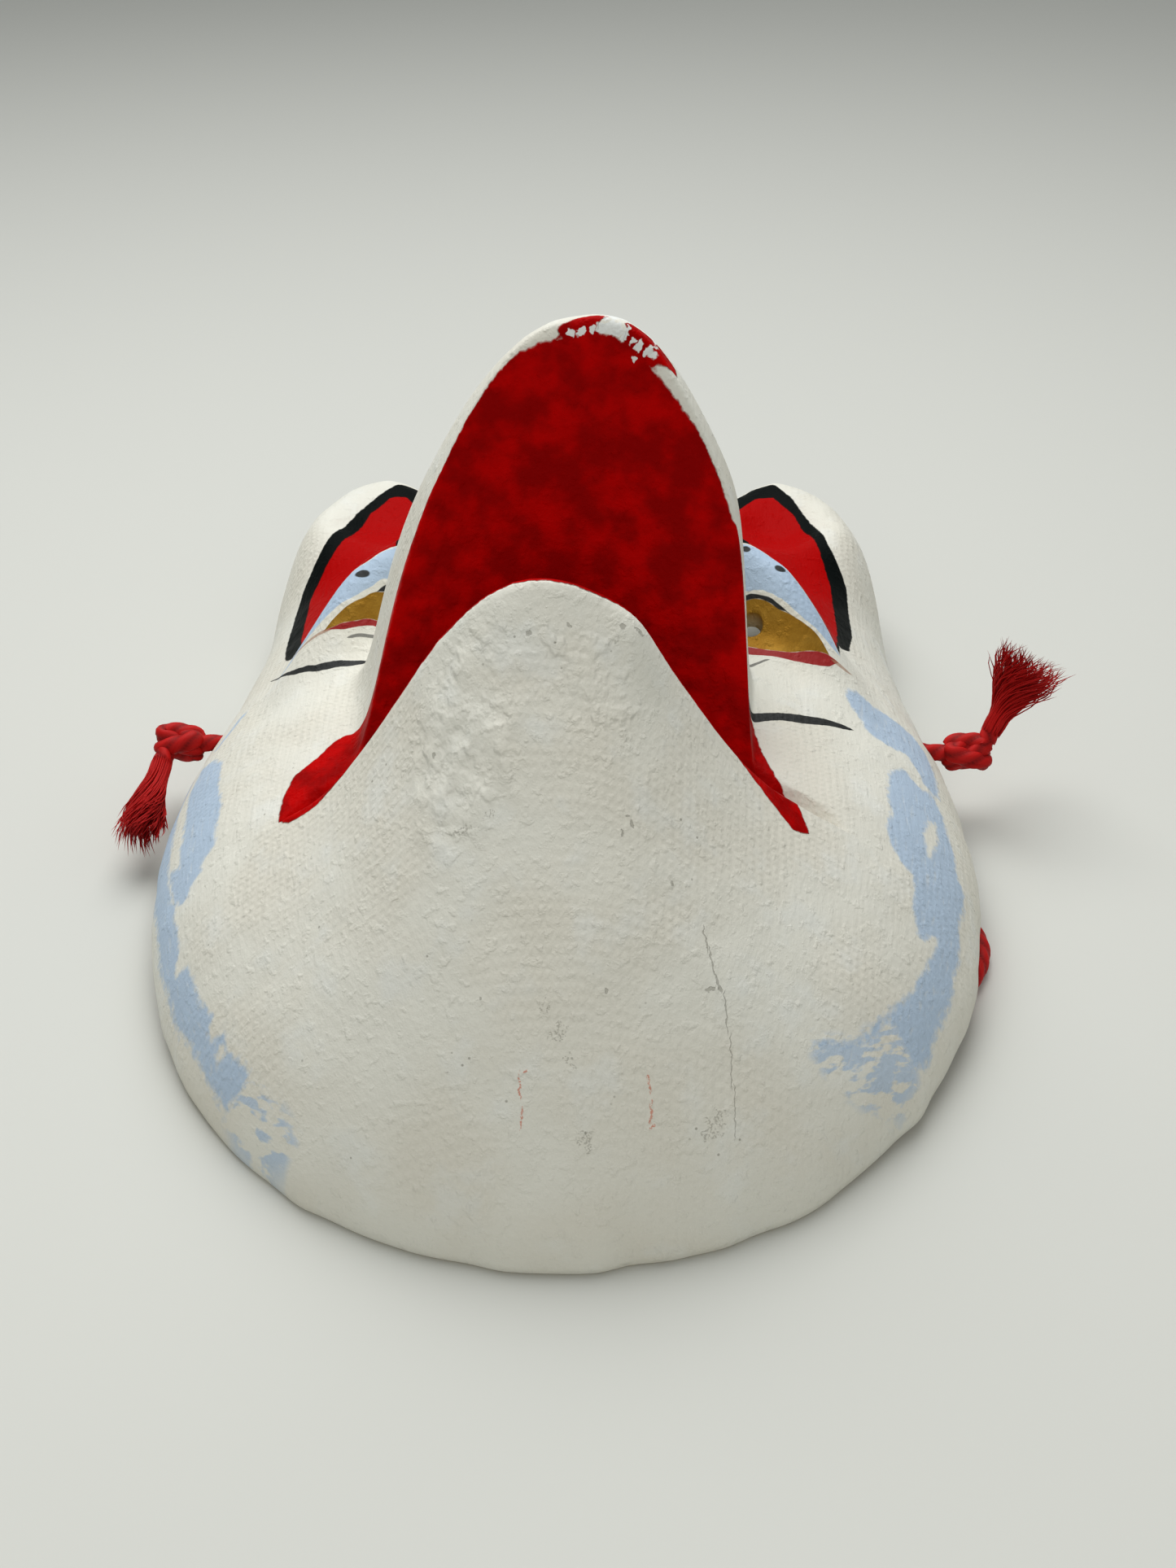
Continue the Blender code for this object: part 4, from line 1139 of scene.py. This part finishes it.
# %% Edges of thin brush work
EDGES = {
    "brow_top": (
        [(30, 144), (33, 149.5), (38.3, 151), (43.6, 148.5), (47.1, 145), (51.2, 141.2),
         (53.3, 139.4), (55.3, 137), (56.5, 134.5), (58, 132)],
        [(30, 144), (33, 149), (39, 149), (43.4, 146.3), (46.9, 145), (50, 143.6), (53, 142),
         (56, 139.8), (59, 137.4), (62, 135), (64, 133)],
    ),
    "brow_bottom": (
        [(30, 144.5), (33, 142.8), (37.4, 141.8), (40.5, 141.1), (43.7, 139.3), (46.3, 137.6),
         (48.9, 136), (51.6, 135.3), (53.7, 134.3), (55.8, 133.6), (58, 133.4)],
        [(30, 144.5), (33, 143), (39.8, 142.7), (42.5, 140.8), (44.2, 139.7), (46.9, 138.3),
         (49.9, 137.2), (53, 136.2), (56, 135.4), (59, 134.5), (62, 133.8), (64, 133.6)],
    ),
    "eye_line_top": (
        [(30, 133.8), (32, 138.6), (34, 140.7), (37.4, 141.2), (39.2, 140.8), (41.8, 139.7),
         (43.7, 138.2), (45.7, 136.7), (47.6, 135.2), (54, 130.6), (56, 128)],
        [(30, 133.8), (32, 138.6), (36, 142), (38, 142.1), (39.5, 141.7), (40.6, 140.9),
         (41.6, 139.9), (44.1, 138.2), (47, 136.7), (53, 131.6)],
    ),
    "eye_top": (
        [(30, 134), (32, 138), (34, 139.8), (37.4, 140.3), (39.5, 140), (41.5, 139),
         (43.7, 137.4), (45.3, 136.7), (47.6, 135.6), (49.6, 134.9), (51.6, 134.2),
         (53.3, 132.8), (54.2, 131.5), (55.5, 129.5)],
        [(30, 134), (32, 138), (36, 140.6), (41.4, 140.1), (44.1, 138.6), (46.9, 137.2),
         (48.8, 136), (51.1, 134.4), (51.9, 133.6), (53, 132.8)],
    ),
    "eye_bottom": (
        [(30, 134.5), (32, 131.5), (34, 130.6), (37.4, 130.2), (42, 129.5), (46.9, 129.4),
         (53.9, 130.9), (55, 131), (56.5, 131)],
        [(30, 134.5), (32, 132), (36, 133.8), (41.7, 135.2), (45.3, 134.4), (48.4, 133.9),
         (49.8, 133.5), (51.5, 133.4), (53, 133.2)],
    ),
    "lid_bottom": (
        [(30, 134.9), (32, 130), (34, 128.4), (37.4, 127.7), (41.9, 127.9), (46.8, 127.4),
         (50.8, 127.3), (54.1, 128.1), (55.9, 130.1), (56.5, 131.5)],
        [(30, 134.9), (32, 130.5), (36, 132.2), (41.3, 133.9), (44.4, 133.5), (47.8, 132.8),
         (51, 133.1), (52.5, 133.5)],
    ),
    "crease_top": (
        [(35, 121.6), (37.4, 123.8), (38.9, 125.1), (40.9, 126.8), (42.6, 126.6)],
        [(37, 131.2), (40, 131.9), (44, 132.2), (46.5, 131.6), (47.6, 130.6)],
    ),
    "crease_bottom": (
        [(35, 122.4), (37.4, 122.9), (38.9, 124.2), (40.9, 126.2), (42.6, 127.4)],
        [(37, 132), (40, 131.3), (44, 131.5), (46.5, 131.1), (47.6, 131.4)],
    ),
    "cheek_top": (
        [(32, 101), (37.1, 104.7), (41.5, 106.9), (47.5, 109.4), (52.7, 111.2), (57.6, 112),
         (60, 111)],
        [(38, 123.6), (43.2, 125.5), (47.2, 126.2), (51.9, 126.6), (54.9, 127.1), (59.9, 130.2),
         (66, 141.2), (67, 142)],
    ),
    "cheek_bottom": (
        [(32, 102.4), (37, 101.8), (41.4, 104.3), (47.3, 106.4), (52.5, 108.8), (57.4, 111),
         (60, 112.6)],
        [(38, 124.8), (40.6, 124.2), (44.2, 124.4), (47.1, 124.5), (51.1, 124.7), (54.7, 125.6),
         (59.6, 128.5), (65.5, 139.6), (67, 144.3)],
    ),
    "tail_top": (
        [(54, 129.8), (55.9, 130.9), (58.8, 131.3), (61, 132)],
        [(50, 132.4), (51.6, 133.5), (56.9, 134.5), (60, 137.3), (62, 140.4)],
    ),
    "tail_bottom": (
        [(54, 130.6), (55.9, 129.9), (58.8, 130.6), (61, 133)],
        [(50, 133.4), (51.6, 132.9), (56.9, 133.8), (60, 136.7), (62, 141.4)],
    ),
}


def edge_offset(x, y, edge):
    """How far each place lies beyond an edge, in y, with the curve for its own side."""
    right, left = (smooth_curve(side_points, CURVE_STEPS) for side_points in EDGES[edge])
    out = np.abs(x)
    right_y = np.interp(out, right[:, 0], right[:, 1])
    left_y = np.interp(out, left[:, 0], left[:, 1])
    return y - np.where(x > 0, right_y, left_y)


# %% [markdown]
# The numbers go on the points of the mesh, each under its own name. The lining is what lies
# a wall's thickness below the skin's formula. Strokes beside the snout end where it has
# climbed 6 mm, because a mark given in plan would run far up so steep a flank.

# %% Keep them on the skin
STROKES_CLIMB = 0.006
LINING_DEPTHS = (0.8 * WALL, 0.95 * WALL)

place = np.zeros(3 * len(mask.data.vertices), np.float32)
mask.data.vertices.foreach_get("co", place)
place = place.reshape(-1, 3).astype(float)
plan_x, plan_y = place[:, 0] / MM, (place[:, 1] + MIDDLE) / MM
on_plan = place[:, :2] + (0, MIDDLE)
steady = on_plan - rim_wobble(on_plan)
under_skin = skin_height(steady[:, 0], steady[:, 1]) - place[:, 2]
snout = snout_rise(steady[:, 0], steady[:, 1], rim_distance(steady[:, 0], steady[:, 1]))
unpainted = inside_any(plan_x, plan_y, BAND_GAPS)
KEPT = {
    "lining": ease(under_skin, *LINING_DEPTHS),
    "palate": inside_any(plan_x, plan_y, [PALATE, NOSE_LEFT, NOSE_RIGHT]),
    "ear": inside_any(plan_x, plan_y, [RIGHT_EAR, LEFT_EAR]),
    "ear_red": inside_any(plan_x, plan_y, [RIGHT_EAR_RED, LEFT_EAR_RED]),
    "band": np.minimum(inside_any(plan_x, plan_y, BLUE_BANDS), -unpainted),
    "dry": inside_any(plan_x, plan_y, DRY_ENDS),
    "off_snout": (STROKES_CLIMB - snout) / MM,
}
KEPT.update({edge: edge_offset(plan_x, plan_y, edge) for edge in EDGES})
for name, values in KEPT.items():
    field = mask.data.attributes.new(name, "FLOAT", "POINT")
    field.data.foreach_set("value", np.ascontiguousarray(values, np.float32))
print("painted forms kept on", len(place), "points")

# %% [markdown]
# ## The painted finish
#
# Shell white is crushed shell in glue, brushed on over pasted paper and gauze. It scatters
# light, so it is matte, with hardly any gloss, and its warm cast changes slowly over the
# skin. Pigments in thin glue go over it in coats that are a little smoother.
#
# The patterns of brush and paper are soft noises in the skin's own millimetres. The table
# gives the size of the lumps, how rough they are and how tightly they are packed along x,
# y and z. Grains of ground are about 0.1 mm in life and are drawn at 0.35 mm to show.
# A second table eases a pattern: from where it starts and ends to the least and most.

# %% Patterns in the skin
PATTERNS = {
    "hand": (1.6, 3.0, (1, 1, 1)),
    "drag": (1.1, 2.0, (1, 0.16, 1)),
    "grain": (0.35, 2.0, (1, 1, 1)),
    "crumbs": (2.1, 4.0, (1, 1, 1)),
    "lumps": (9.0, 3.0, (1, 1, 1)),
    "cast": (26.0, 2.0, (1, 1, 1)),
    "thick": (4.2, 2.5, (1, 0.6, 1)),
    "pigment": (6.0, 3.0, (1, 1, 1)),
    "bristles": (3.2, 3.0, (1, 1, 0.4)),
    "fibres": (0.8, 3.0, (1, 0.1, 1)),
}
SMOOTH = {"interpolation_type": "SMOOTHSTEP"}
EASED = {
    "warm": ("cast", 0.35, 0.65, 0.0, 1.0),
    "cool": ("lumps", 0.50, 0.75, 0.0, 0.4),
    "dusty": ("lumps", 0.52, 0.62, 0.0, 1.0),
    "rich": ("pigment", 0.35, 0.70, 0.0, 1.0),
    "painted_glint": ("lumps", 0.40, 0.70, 0.0, 1.0),
    "thinness": ("drag", 0.25, 0.45, 0.72, 0.95),
    "fibre": ("fibres", 0.45, 0.70, 0.0, 1.0),
    "thin_ground": ("cast", 0.42, 0.58, 0.25, 1.0),
    "crumb": ("crumbs", 0.52, 0.72, 0.0, 1.0),
    "ridge": ("thick", 0.45, 0.62, 0.0, 1.0),
}

place_of = add(tree, "TexCoord", output=3)
pattern = {}
for name, (size, detail, packing) in PATTERNS.items():
    spread = tuple(share / (size * MM) for share in packing)
    scaled = add(tree, "Mapping", {"Vector": place_of, "Scale": spread})
    pattern[name] = add(tree, "TexNoise", {"Vector": scaled, "Scale": 1.0, "Detail": detail})
eased = {}
for name, (source, *reach) in EASED.items():
    eased[name] = add(tree, "MapRange", [pattern[source], *reach], **SMOOTH)
kept = {name: add(tree, "Attribute", attribute_name=name, output=2) for name in KEPT}
print(len(pattern), "patterns,", len(eased), "of them eased, and", len(kept), "kept numbers")

# %% [markdown]
# A coat is a share and a paint. The share is 1 where the coat covers and 0 where it is
# absent, and the coats are laid one over the other at the end. A coat's edge is where its
# depth passes nothing, pushed to and fro by the hand's wobble.

# %% Ground coats
GESSO = "#DAD9CE"
GESSO_WARM = "#D6D3C6"
GESSO_COOL = "#DDE0DC"
DUST = "#6E6A5C"
SPECK_SPACING = 3.2
SPECK_EDGE = (0.10, 0.05)
SPECK_STRENGTH = 0.6

scattered = {"Vector": place_of, "Scale": 1 / (SPECK_SPACING * MM)}
to_speck = add(tree, "TexVoronoi", scattered)
speck = add(tree, "MapRange", [to_speck, *SPECK_EDGE, 0.0, SPECK_STRENGTH], **SMOOTH)
specks = add(tree, "Math", [speck, eased["dusty"]], operation="MULTIPLY")
coats = [(eased["warm"], GESSO_WARM), (eased["cool"], GESSO_COOL), (specks, DUST)]

# %% [markdown]
# Mouth, nose and ears are bright red pigment, which is deeper where the coat is thin. The
# ears have a black border, and white ground shows between them and the blue brows.

# %% Red mouth and ears
PIGMENT_RED = "#B60000"
PIGMENT_RED_DEEP = "#8C0000"
EAR_RED = "#A40000"
SOOT_BLACK = "#080D0C"
WHITE_OVER_BROW = 0.35
PALATE_WOBBLE = 0.8
EAR_WOBBLE = 0.6


def coat(depth, wobble, softness=0.16):
    """How much of a coat shows: its depth plus the hand's wobble, in millimetres, eased."""
    centred = add(tree, "Math", [depth, wobble / 2], operation="SUBTRACT")
    rough = add(tree, "Math", [pattern["hand"], wobble, centred], operation="MULTIPLY_ADD")
    return add(tree, "MapRange", [rough, -softness, softness], **SMOOTH)


palate_share = coat(kept["palate"], PALATE_WOBBLE)
rich_share = add(tree, "Math", [palate_share, eased["rich"]], operation="MULTIPLY")
above_brow = add(tree, "Math", [kept["brow_top"], WHITE_OVER_BROW], operation="SUBTRACT")
ear_share, ear_red_share = [
    coat(add(tree, "Math", [kept[name], above_brow], operation="MINIMUM"), EAR_WOBBLE)
    for name in ("ear", "ear_red")
]
coats += [(palate_share, PIGMENT_RED_DEEP), (rich_share, PIGMENT_RED)]
coats += [(ear_share, SOOT_BLACK), (ear_red_share, EAR_RED)]

# %% [markdown]
# A stroke is what lies below its upper edge and above its lower one. The table gives the
# two edges, the wobble in millimetres, how well the paint covers and the paint. Over the
# gold, patches of lighter brass are a painted glint.

# %% Strokes round the eyes and on the cheeks
PALE_BLUE = "#A9BDD2"
BRASS_GOLD = "#8A6420"
BRASS_PAINTED_GLINT = "#A07A30"
LID_RED = "#900000"
FAINT_BROWN = "#9A6E52"
STROKES = [
    ("brow_top", "brow_bottom", 0.5, 1.0, PALE_BLUE),
    ("eye_top", "eye_bottom", 0.2, 1.0, BRASS_GOLD),
    ("eye_bottom", "lid_bottom", 0.2, 1.0, LID_RED),
    ("tail_top", "tail_bottom", 0.2, 0.7, FAINT_BROWN),
    ("eye_line_top", "eye_top", 0.2, 1.0, SOOT_BLACK),
    ("crease_top", "crease_bottom", 0.2, 0.75, SOOT_BLACK),
    ("cheek_top", "cheek_bottom", 0.5, 1.0, SOOT_BLACK),
]
STROKE_SOFTNESS = 0.1

for upper, lower, wobble, cover, paint in STROKES:
    below_upper = add(tree, "Math", [kept[upper], -1.0], operation="MULTIPLY")
    between = add(tree, "Math", [below_upper, kept[lower]], operation="MINIMUM")
    depth = add(tree, "Math", [between, kept["off_snout"]], operation="MINIMUM")
    full = coat(depth, wobble, STROKE_SOFTNESS)
    share = add(tree, "Math", [full, cover], operation="MULTIPLY")
    coats.append((share, paint))
    if paint == BRASS_GOLD:
        gold_share = share
        # Patches of lighter brass over the gold are a painted glint, a painted highlight.
        bright = add(tree, "Math", [share, eased["painted_glint"]], operation="MULTIPLY")
        coats.append((bright, BRASS_PAINTED_GLINT))
print("coats so far:", len(coats))

# %% [markdown]
# The blue bands were laid with a brush that ran dry. Where it did, streaks of white show,
# drawn out along the stroke. Folding x and y to their plain sizes lets one slanted noise
# follow the strokes of both sides.

# %% Dry-brushed blue bands
STROKE_ANGLE = 38.0
WORN_SIZE = (6.0, 1.3, 6.0)
WORN_EDGE = (0.47, 0.56)
WORN_STRENGTH = 0.85
DRY_EDGE = (-1.0, 1.6)
BAND_WOBBLE = 2.2
BAND_SOFTNESS = 0.6

folded = add(tree, "VectorMath", [place_of], operation="ABSOLUTE")
along_stroke = {
    "Vector": folded,
    "Rotation": (0, 0, math.radians(-STROKE_ANGLE)),
    "Scale": tuple(size * MM for size in WORN_SIZE),
}
slanted = add(tree, "Mapping", along_stroke, vector_type="TEXTURE")
streaks = add(tree, "TexNoise", {"Vector": slanted, "Scale": 1.0, "Detail": 3.0})
wet = coat(kept["band"], BAND_WOBBLE, BAND_SOFTNESS)
worn = add(tree, "MapRange", [streaks, *WORN_EDGE, 0.0, WORN_STRENGTH], **SMOOTH)
near_end = add(tree, "MapRange", [kept["dry"], *DRY_EDGE], **SMOOTH)
dry = add(tree, "Math", [worn, near_end], operation="MULTIPLY")
either = add(tree, "Math", [wet, dry], operation="MAXIMUM")
band_share = add(tree, "Math", [either, eased["thinness"]], operation="MULTIPLY")
coats.append((band_share, PALE_BLUE))

# %% [markdown]
# Small marks are ragged spots: ellipses in the skin's own coordinates, shaken out of true
# by noise. Each spot is two coordinates and two half sizes in millimetres, and a turn.

# %% Shaken spots
SHAKE_SIZE = 1.3
SPOT_EDGE = (1.15, 0.85)
FAR = 1000.0

shaking = {"Vector": place_of, "Scale": 1 / (SHAKE_SIZE * MM), "Detail": 2.0}
shaken_by = add(tree, "TexNoise", shaking, output=1)
shake = add(tree, "VectorMath", [shaken_by, (0.5, 0.5, 0.5)], operation="SUBTRACT")


def shaken(amount):
    """Places moved by noise, up to about an amount in millimetres."""
    moved = add(tree, "VectorMath", {0: shake, "Scale": 2 * amount * MM}, operation="SCALE")
    return add(tree, "VectorMath", [moved, place_of], operation="ADD")


def spots(places, table, from_front=False):
    """How much shows of the spots in a table: 1 within an ellipse, 0 beyond, eased.

    The two coordinates are x and y from the chin, or x and z where seen from the front.
    """
    every = 0.0
    for first, second, half_first, half_second, turn in table:
        middle, size = (first, second - MIDDLE / MM, 0), (half_first, half_second, FAR)
        if from_front:
            middle, size = (first, 0, second), (half_first, FAR, half_second)
        ellipse = {
            "Vector": places,
            "Location": tuple(value * MM for value in middle),
            "Rotation": (0, -turn, 0) if from_front else (0, 0, turn),
            "Scale": tuple(value * MM for value in size),
        }
        centred = add(tree, "Mapping", ellipse, vector_type="TEXTURE")
        away = add(tree, "VectorMath", [centred], output=1, operation="LENGTH")
        one = add(tree, "MapRange", [away, *SPOT_EDGE], **SMOOTH)
        every = add(tree, "Math", [one, every], operation="MAXIMUM")
    return every


# %% [markdown]
# The brows have black dots. At the nose, dabs of ground went over the red, and they are
# placed from the front, because the nose is nearly upright there.

# %% Dabs and dots
DOTS = [(37.1, 149.6, 0.9, 0.8, 0), (44.2, 145.2, 1.2, 1.0, 0), (-44.6, 143.2, 1.6, 0.9, 0)]
DABS = [
    (7.4, 125.2, 1.9, 0.9, 0.2), (9.2, 124.8, 1.6, 0.9, -0.2), (11.0, 124.0, 0.5, 1.2, -0.5),
    (0.9, 124.2, 0.7, 0.7, 0.0), (2.7, 124.3, 0.9, 0.6, 0.3), (12.1, 122.7, 0.6, 0.8, -0.7),
    (13.4, 121.9, 0.6, 0.9, -0.5), (15.8, 120.6, 1.2, 0.9, -0.7), (12.6, 119.9, 0.4, 0.7, 0.1),
    (5.0, 124.6, 0.5, 0.9, 0.4), (14.7, 121.0, 0.4, 0.8, -0.4),
]
DAB_RAGGEDNESS = 1.0
DAB_REACH = (4.0, 3.0)

coats.append((spots(place_of, DOTS), SOOT_BLACK))
at_nose = add(tree, "MapRange", [kept["palate"], *DAB_REACH], **SMOOTH)
dabs = spots(shaken(DAB_RAGGEDNESS), DABS, from_front=True)
coats.append((add(tree, "Math", [dabs, at_nose], operation="MULTIPLY"), GESSO_COOL))
print("coats so far:", len(coats))

# %% [markdown]
# A crack runs down the right of the chin, dirt is caught in the relief, and a brush left
# two scratches of stray orange. A kind of mark has its raggedness in millimetres, how much
# of the grain it leaves bare, its strength and its paint.

# %% Cracks, dirt and scratches
STRAY_ORANGE = "#C4603C"
CRACKS = [
    (26.5, 37.0, 0.14, 2.0, 0.2), (27.7, 34.2, 0.16, 2.0, 0.3), (28.9, 31.6, 0.25, 1.2, 0.5),
    (27.6, 30.4, 1.0, 0.3, 0.5), (30.2, 28.5, 0.10, 2.6, 0.15), (31.2, 23.0, 0.08, 3.4, 0.05),
    (31.9, 17.5, 0.08, 3.0, 0.05), (13.4, 46.9, 0.3, 0.5, 0.2), (11.6, 45.2, 0.2, 0.4, 0.0),
    (12.4, 47.6, 0.4, 0.2, 0.3), (-5.2, 68.1, 0.5, 0.3, 0.0), (1.9, 69.4, 0.4, 0.3, 0.0),
    (14.1, 72.0, 0.7, 0.4, 0.4), (11.2, 71.3, 0.4, 0.5, 0.0), (-22.0, 58.0, 0.3, 0.4, 0.0),
    (20.5, 42.0, 0.25, 0.35, 0.0), (-12.4, 24.5, 0.3, 0.3, 0.0), (9.3, 25.4, 0.3, 0.3, 0.0),
]
DIRT = [
    (-16.5, 45.6, 3.0, 0.4, -0.15), (27.3, 13.8, 1.6, 0.8, 0.6), (29.4, 15.8, 1.0, 1.2, 0.2),
    (6.2, 9.6, 1.4, 1.0, 0.3), (1.2, 20.2, 1.4, 1.1, 0.1), (-11.5, 46.6, 1.2, 0.4, 0.4),
    (3.4, 17.5, 0.8, 0.6, 0.0), (-1.5, 23.0, 0.6, 0.9, 0.2),
]
SCRATCHES = [
    (-5.3, 14.8, 0.22, 1.5, 0.1), (-5.0, 11.6, 0.18, 1.2, -0.1), (16.9, 16.6, 0.25, 1.1, 0.3),
    (17.3, 13.8, 0.28, 1.2, -0.1), (-4.4, 16.2, 0.5, 0.2, 0.3), (17.6, 12.3, 0.5, 0.25, 0.5),
]
GRAIN_EDGE = 0.15
MARKS = [
    (CRACKS, 0.6, 0.0, 0.47, DUST),
    (DIRT, 2.0, 0.45, 0.45, DUST),
    (SCRATCHES, 0.6, 0.40, 0.7, STRAY_ORANGE),
]

drawn = []
for table, raggedness, bare, strength, paint in MARKS:
    grains = [pattern["grain"], bare, bare + GRAIN_EDGE, 0.0, strength]
    caught = add(tree, "MapRange", grains, **SMOOTH)
    share = add(tree, "Math", [spots(shaken(raggedness), table), caught], operation="MULTIPLY")
    drawn.append(share)
    coats.append((share, paint))

# %% [markdown]
# The photo doesn't show the inside. It is left as bare paper with pale brown fibres, the
# last coat, and then each coat is mixed over those before it.

# %% Bare paper inside, and all coats laid
BARE_PAPER = "#CDBF9E"
PAPER_FIBRE = "#A89468"

on_paper = add(tree, "Math", [kept["lining"], eased["fibre"]], operation="MULTIPLY")
coats += [(kept["lining"], BARE_PAPER), (on_paper, PAPER_FIBRE)]
colour = linear(GESSO)
for share, paint in coats:
    layer = {"Factor": share, "A": colour, "B": linear(paint)}
    colour = add(tree, "Mix", layer, output=2, data_type="RGBA")
tree.links.new(colour, shader.inputs["Base Color"])
print("coats laid:", len(coats))

# %% [markdown]
# The relief that is too fine for the mesh is a bump, whose layers are heights in
# millimetres: the weave of the gauze where the ground is thin, lumps and grains of the
# ground, ridges of thick ground at the top of the jaw, and bristle marks in the red.
# A wave node's bands repeat every 20th part of a full turn of its scale. Ground is matte,
# pigment a little smoother but without gloss, and the brass in the gold gives a dull gleam.

# %% Relief and sheen
THREAD_PITCH = 1.5
WAVE_STEP = 2 * math.pi / 20
SHEEN = {"Roughness": (0.66, 0.5), "Specular IOR Level": (0.4, 0.02)}
GOLD_METAL = 0.35
THREAD_WAVER = 0.4
THICK_RAGGEDNESS = 3.0
THICK_PATCH = [(-16.5, 59.0, 10.5, 14.0, 0.0), (4.0, 63.5, 12.0, 7.0, 0.0)]

threads = {"Vector": shaken(THREAD_WAVER), "Scale": WAVE_STEP / (THREAD_PITCH * MM)}
warp = add(tree, "TexWave", threads, output=1, bands_direction="X")
weft = add(tree, "TexWave", threads, output=1, bands_direction="Y")
painted = add(tree, "Math", [palate_share, ear_share], operation="MAXIMUM")
painted = add(tree, "Math", [painted, gold_share], operation="MAXIMUM")
covered = add(tree, "Math", [painted, kept["lining"]], operation="MAXIMUM")
weave = add(tree, "Math", [1.0, covered], operation="SUBTRACT")
for part in (warp, weft, eased["thin_ground"]):
    weave = add(tree, "Math", [weave, part], operation="MULTIPLY")
thick = spots(shaken(THICK_RAGGEDNESS), THICK_PATCH)
ridges = add(tree, "Math", [eased["ridge"], thick], operation="MULTIPLY")
bristles = add(tree, "Math", [pattern["bristles"], palate_share], operation="MULTIPLY")
LAYERS = [
    (weave, 0.085), (pattern["lumps"], 0.30), (pattern["drag"], 0.16), (pattern["grain"], 0.05),
    (eased["crumb"], 0.12), (drawn[0], -0.2), (ridges, 0.26), (bristles, 0.45),
]
relief = 0.0
for layer, height in LAYERS:
    relief = add(tree, "Math", [layer, height, relief], operation="MULTIPLY_ADD")
bump = add(tree, "Bump", {"Strength": 1.0, "Distance": MM, "Height": relief})
tree.links.new(bump, shader.inputs["Normal"])
for socket, (of_ground, of_paint) in SHEEN.items():
    value = add(tree, "MapRange", [painted, 0.0, 1.0, of_ground, of_paint])
    tree.links.new(value, shader.inputs[socket])
metal = add(tree, "Math", [gold_share, GOLD_METAL], operation="MULTIPLY")
tree.links.new(metal, shader.inputs["Metallic"])
print("finish:", finish.name, "with", len(tree.nodes), "nodes")

# %% [markdown]
# ## The floor and the light
#
# A pale grey table, a wide soft light from above and behind, a weaker one from the front
# and a grey room give the mask its short soft shadow under the chin.

# %% Floor
FLOOR_SIZE = 3.0
FLOOR_GREY = "#C9CAC4"
FLOOR_ROUGHNESS = 0.9

floor_mesh = bpy.data.meshes.new("floor")
corners = FLOOR_SIZE * np.array([(-1, -1, 0), (1, -1, 0), (1, 1, 0), (-1, 1, 0)])
floor_mesh.from_pydata(corners.tolist(), [], [(0, 1, 2, 3)])
floor = bpy.data.objects.new("floor", floor_mesh)
bpy.context.collection.objects.link(floor)
grey, _, grey_shader = new_material("matte pale grey table")
grey_shader.inputs["Base Color"].default_value = linear(FLOOR_GREY)
grey_shader.inputs["Roughness"].default_value = FLOOR_ROUGHNESS
floor_mesh.materials.append(grey)

# %% Lights


def area_light(name, place, aim, size, power, colour, spread):
    """A square area light turned to shine on a point, its size in metres and power in watts.

    The spread is the full angle of its beam in degrees; 180 is a plain panel.
    """
    data = bpy.data.lights.new(name, "AREA")
    data.shape = "SQUARE"
    data.size = size
    data.energy = power
    data.color = linear(colour)[:3]
    data.spread = math.radians(spread)
    made = bpy.data.objects.new(name, data)
    made.location = place
    away = np.array(place) - np.array(aim)
    flat = math.hypot(away[0], away[1])
    made.rotation_euler = (math.atan2(flat, away[2]), 0, math.atan2(away[0], -away[1]))
    bpy.context.collection.objects.link(made)
    return made


LIGHTS = [
    ("sky_panel", (-0.10, 0.37, 0.80), (0.0, -0.29, 0.0), 0.8, 3.7, "#FFFFFF", 108.0),
    ("front_fill", (0.02, -1.10, 0.80), (0.0, 0.0, 0.05), 0.9, 3.1, "#FFFAF0", 180.0),
]
ROOM_GREY = "#E9ECEC"
ROOM_STRENGTH = 0.45

for light in LIGHTS:
    area_light(*light)
world = bpy.data.worlds.new("soft room")
world.use_nodes = True
room = world.node_tree.nodes["Background"]
room.inputs["Color"].default_value = linear(ROOM_GREY)
room.inputs["Strength"].default_value = ROOM_STRENGTH
bpy.context.scene.world = world
bpy.context.scene.view_settings.view_transform = "Standard"
print("floor and lights stand")
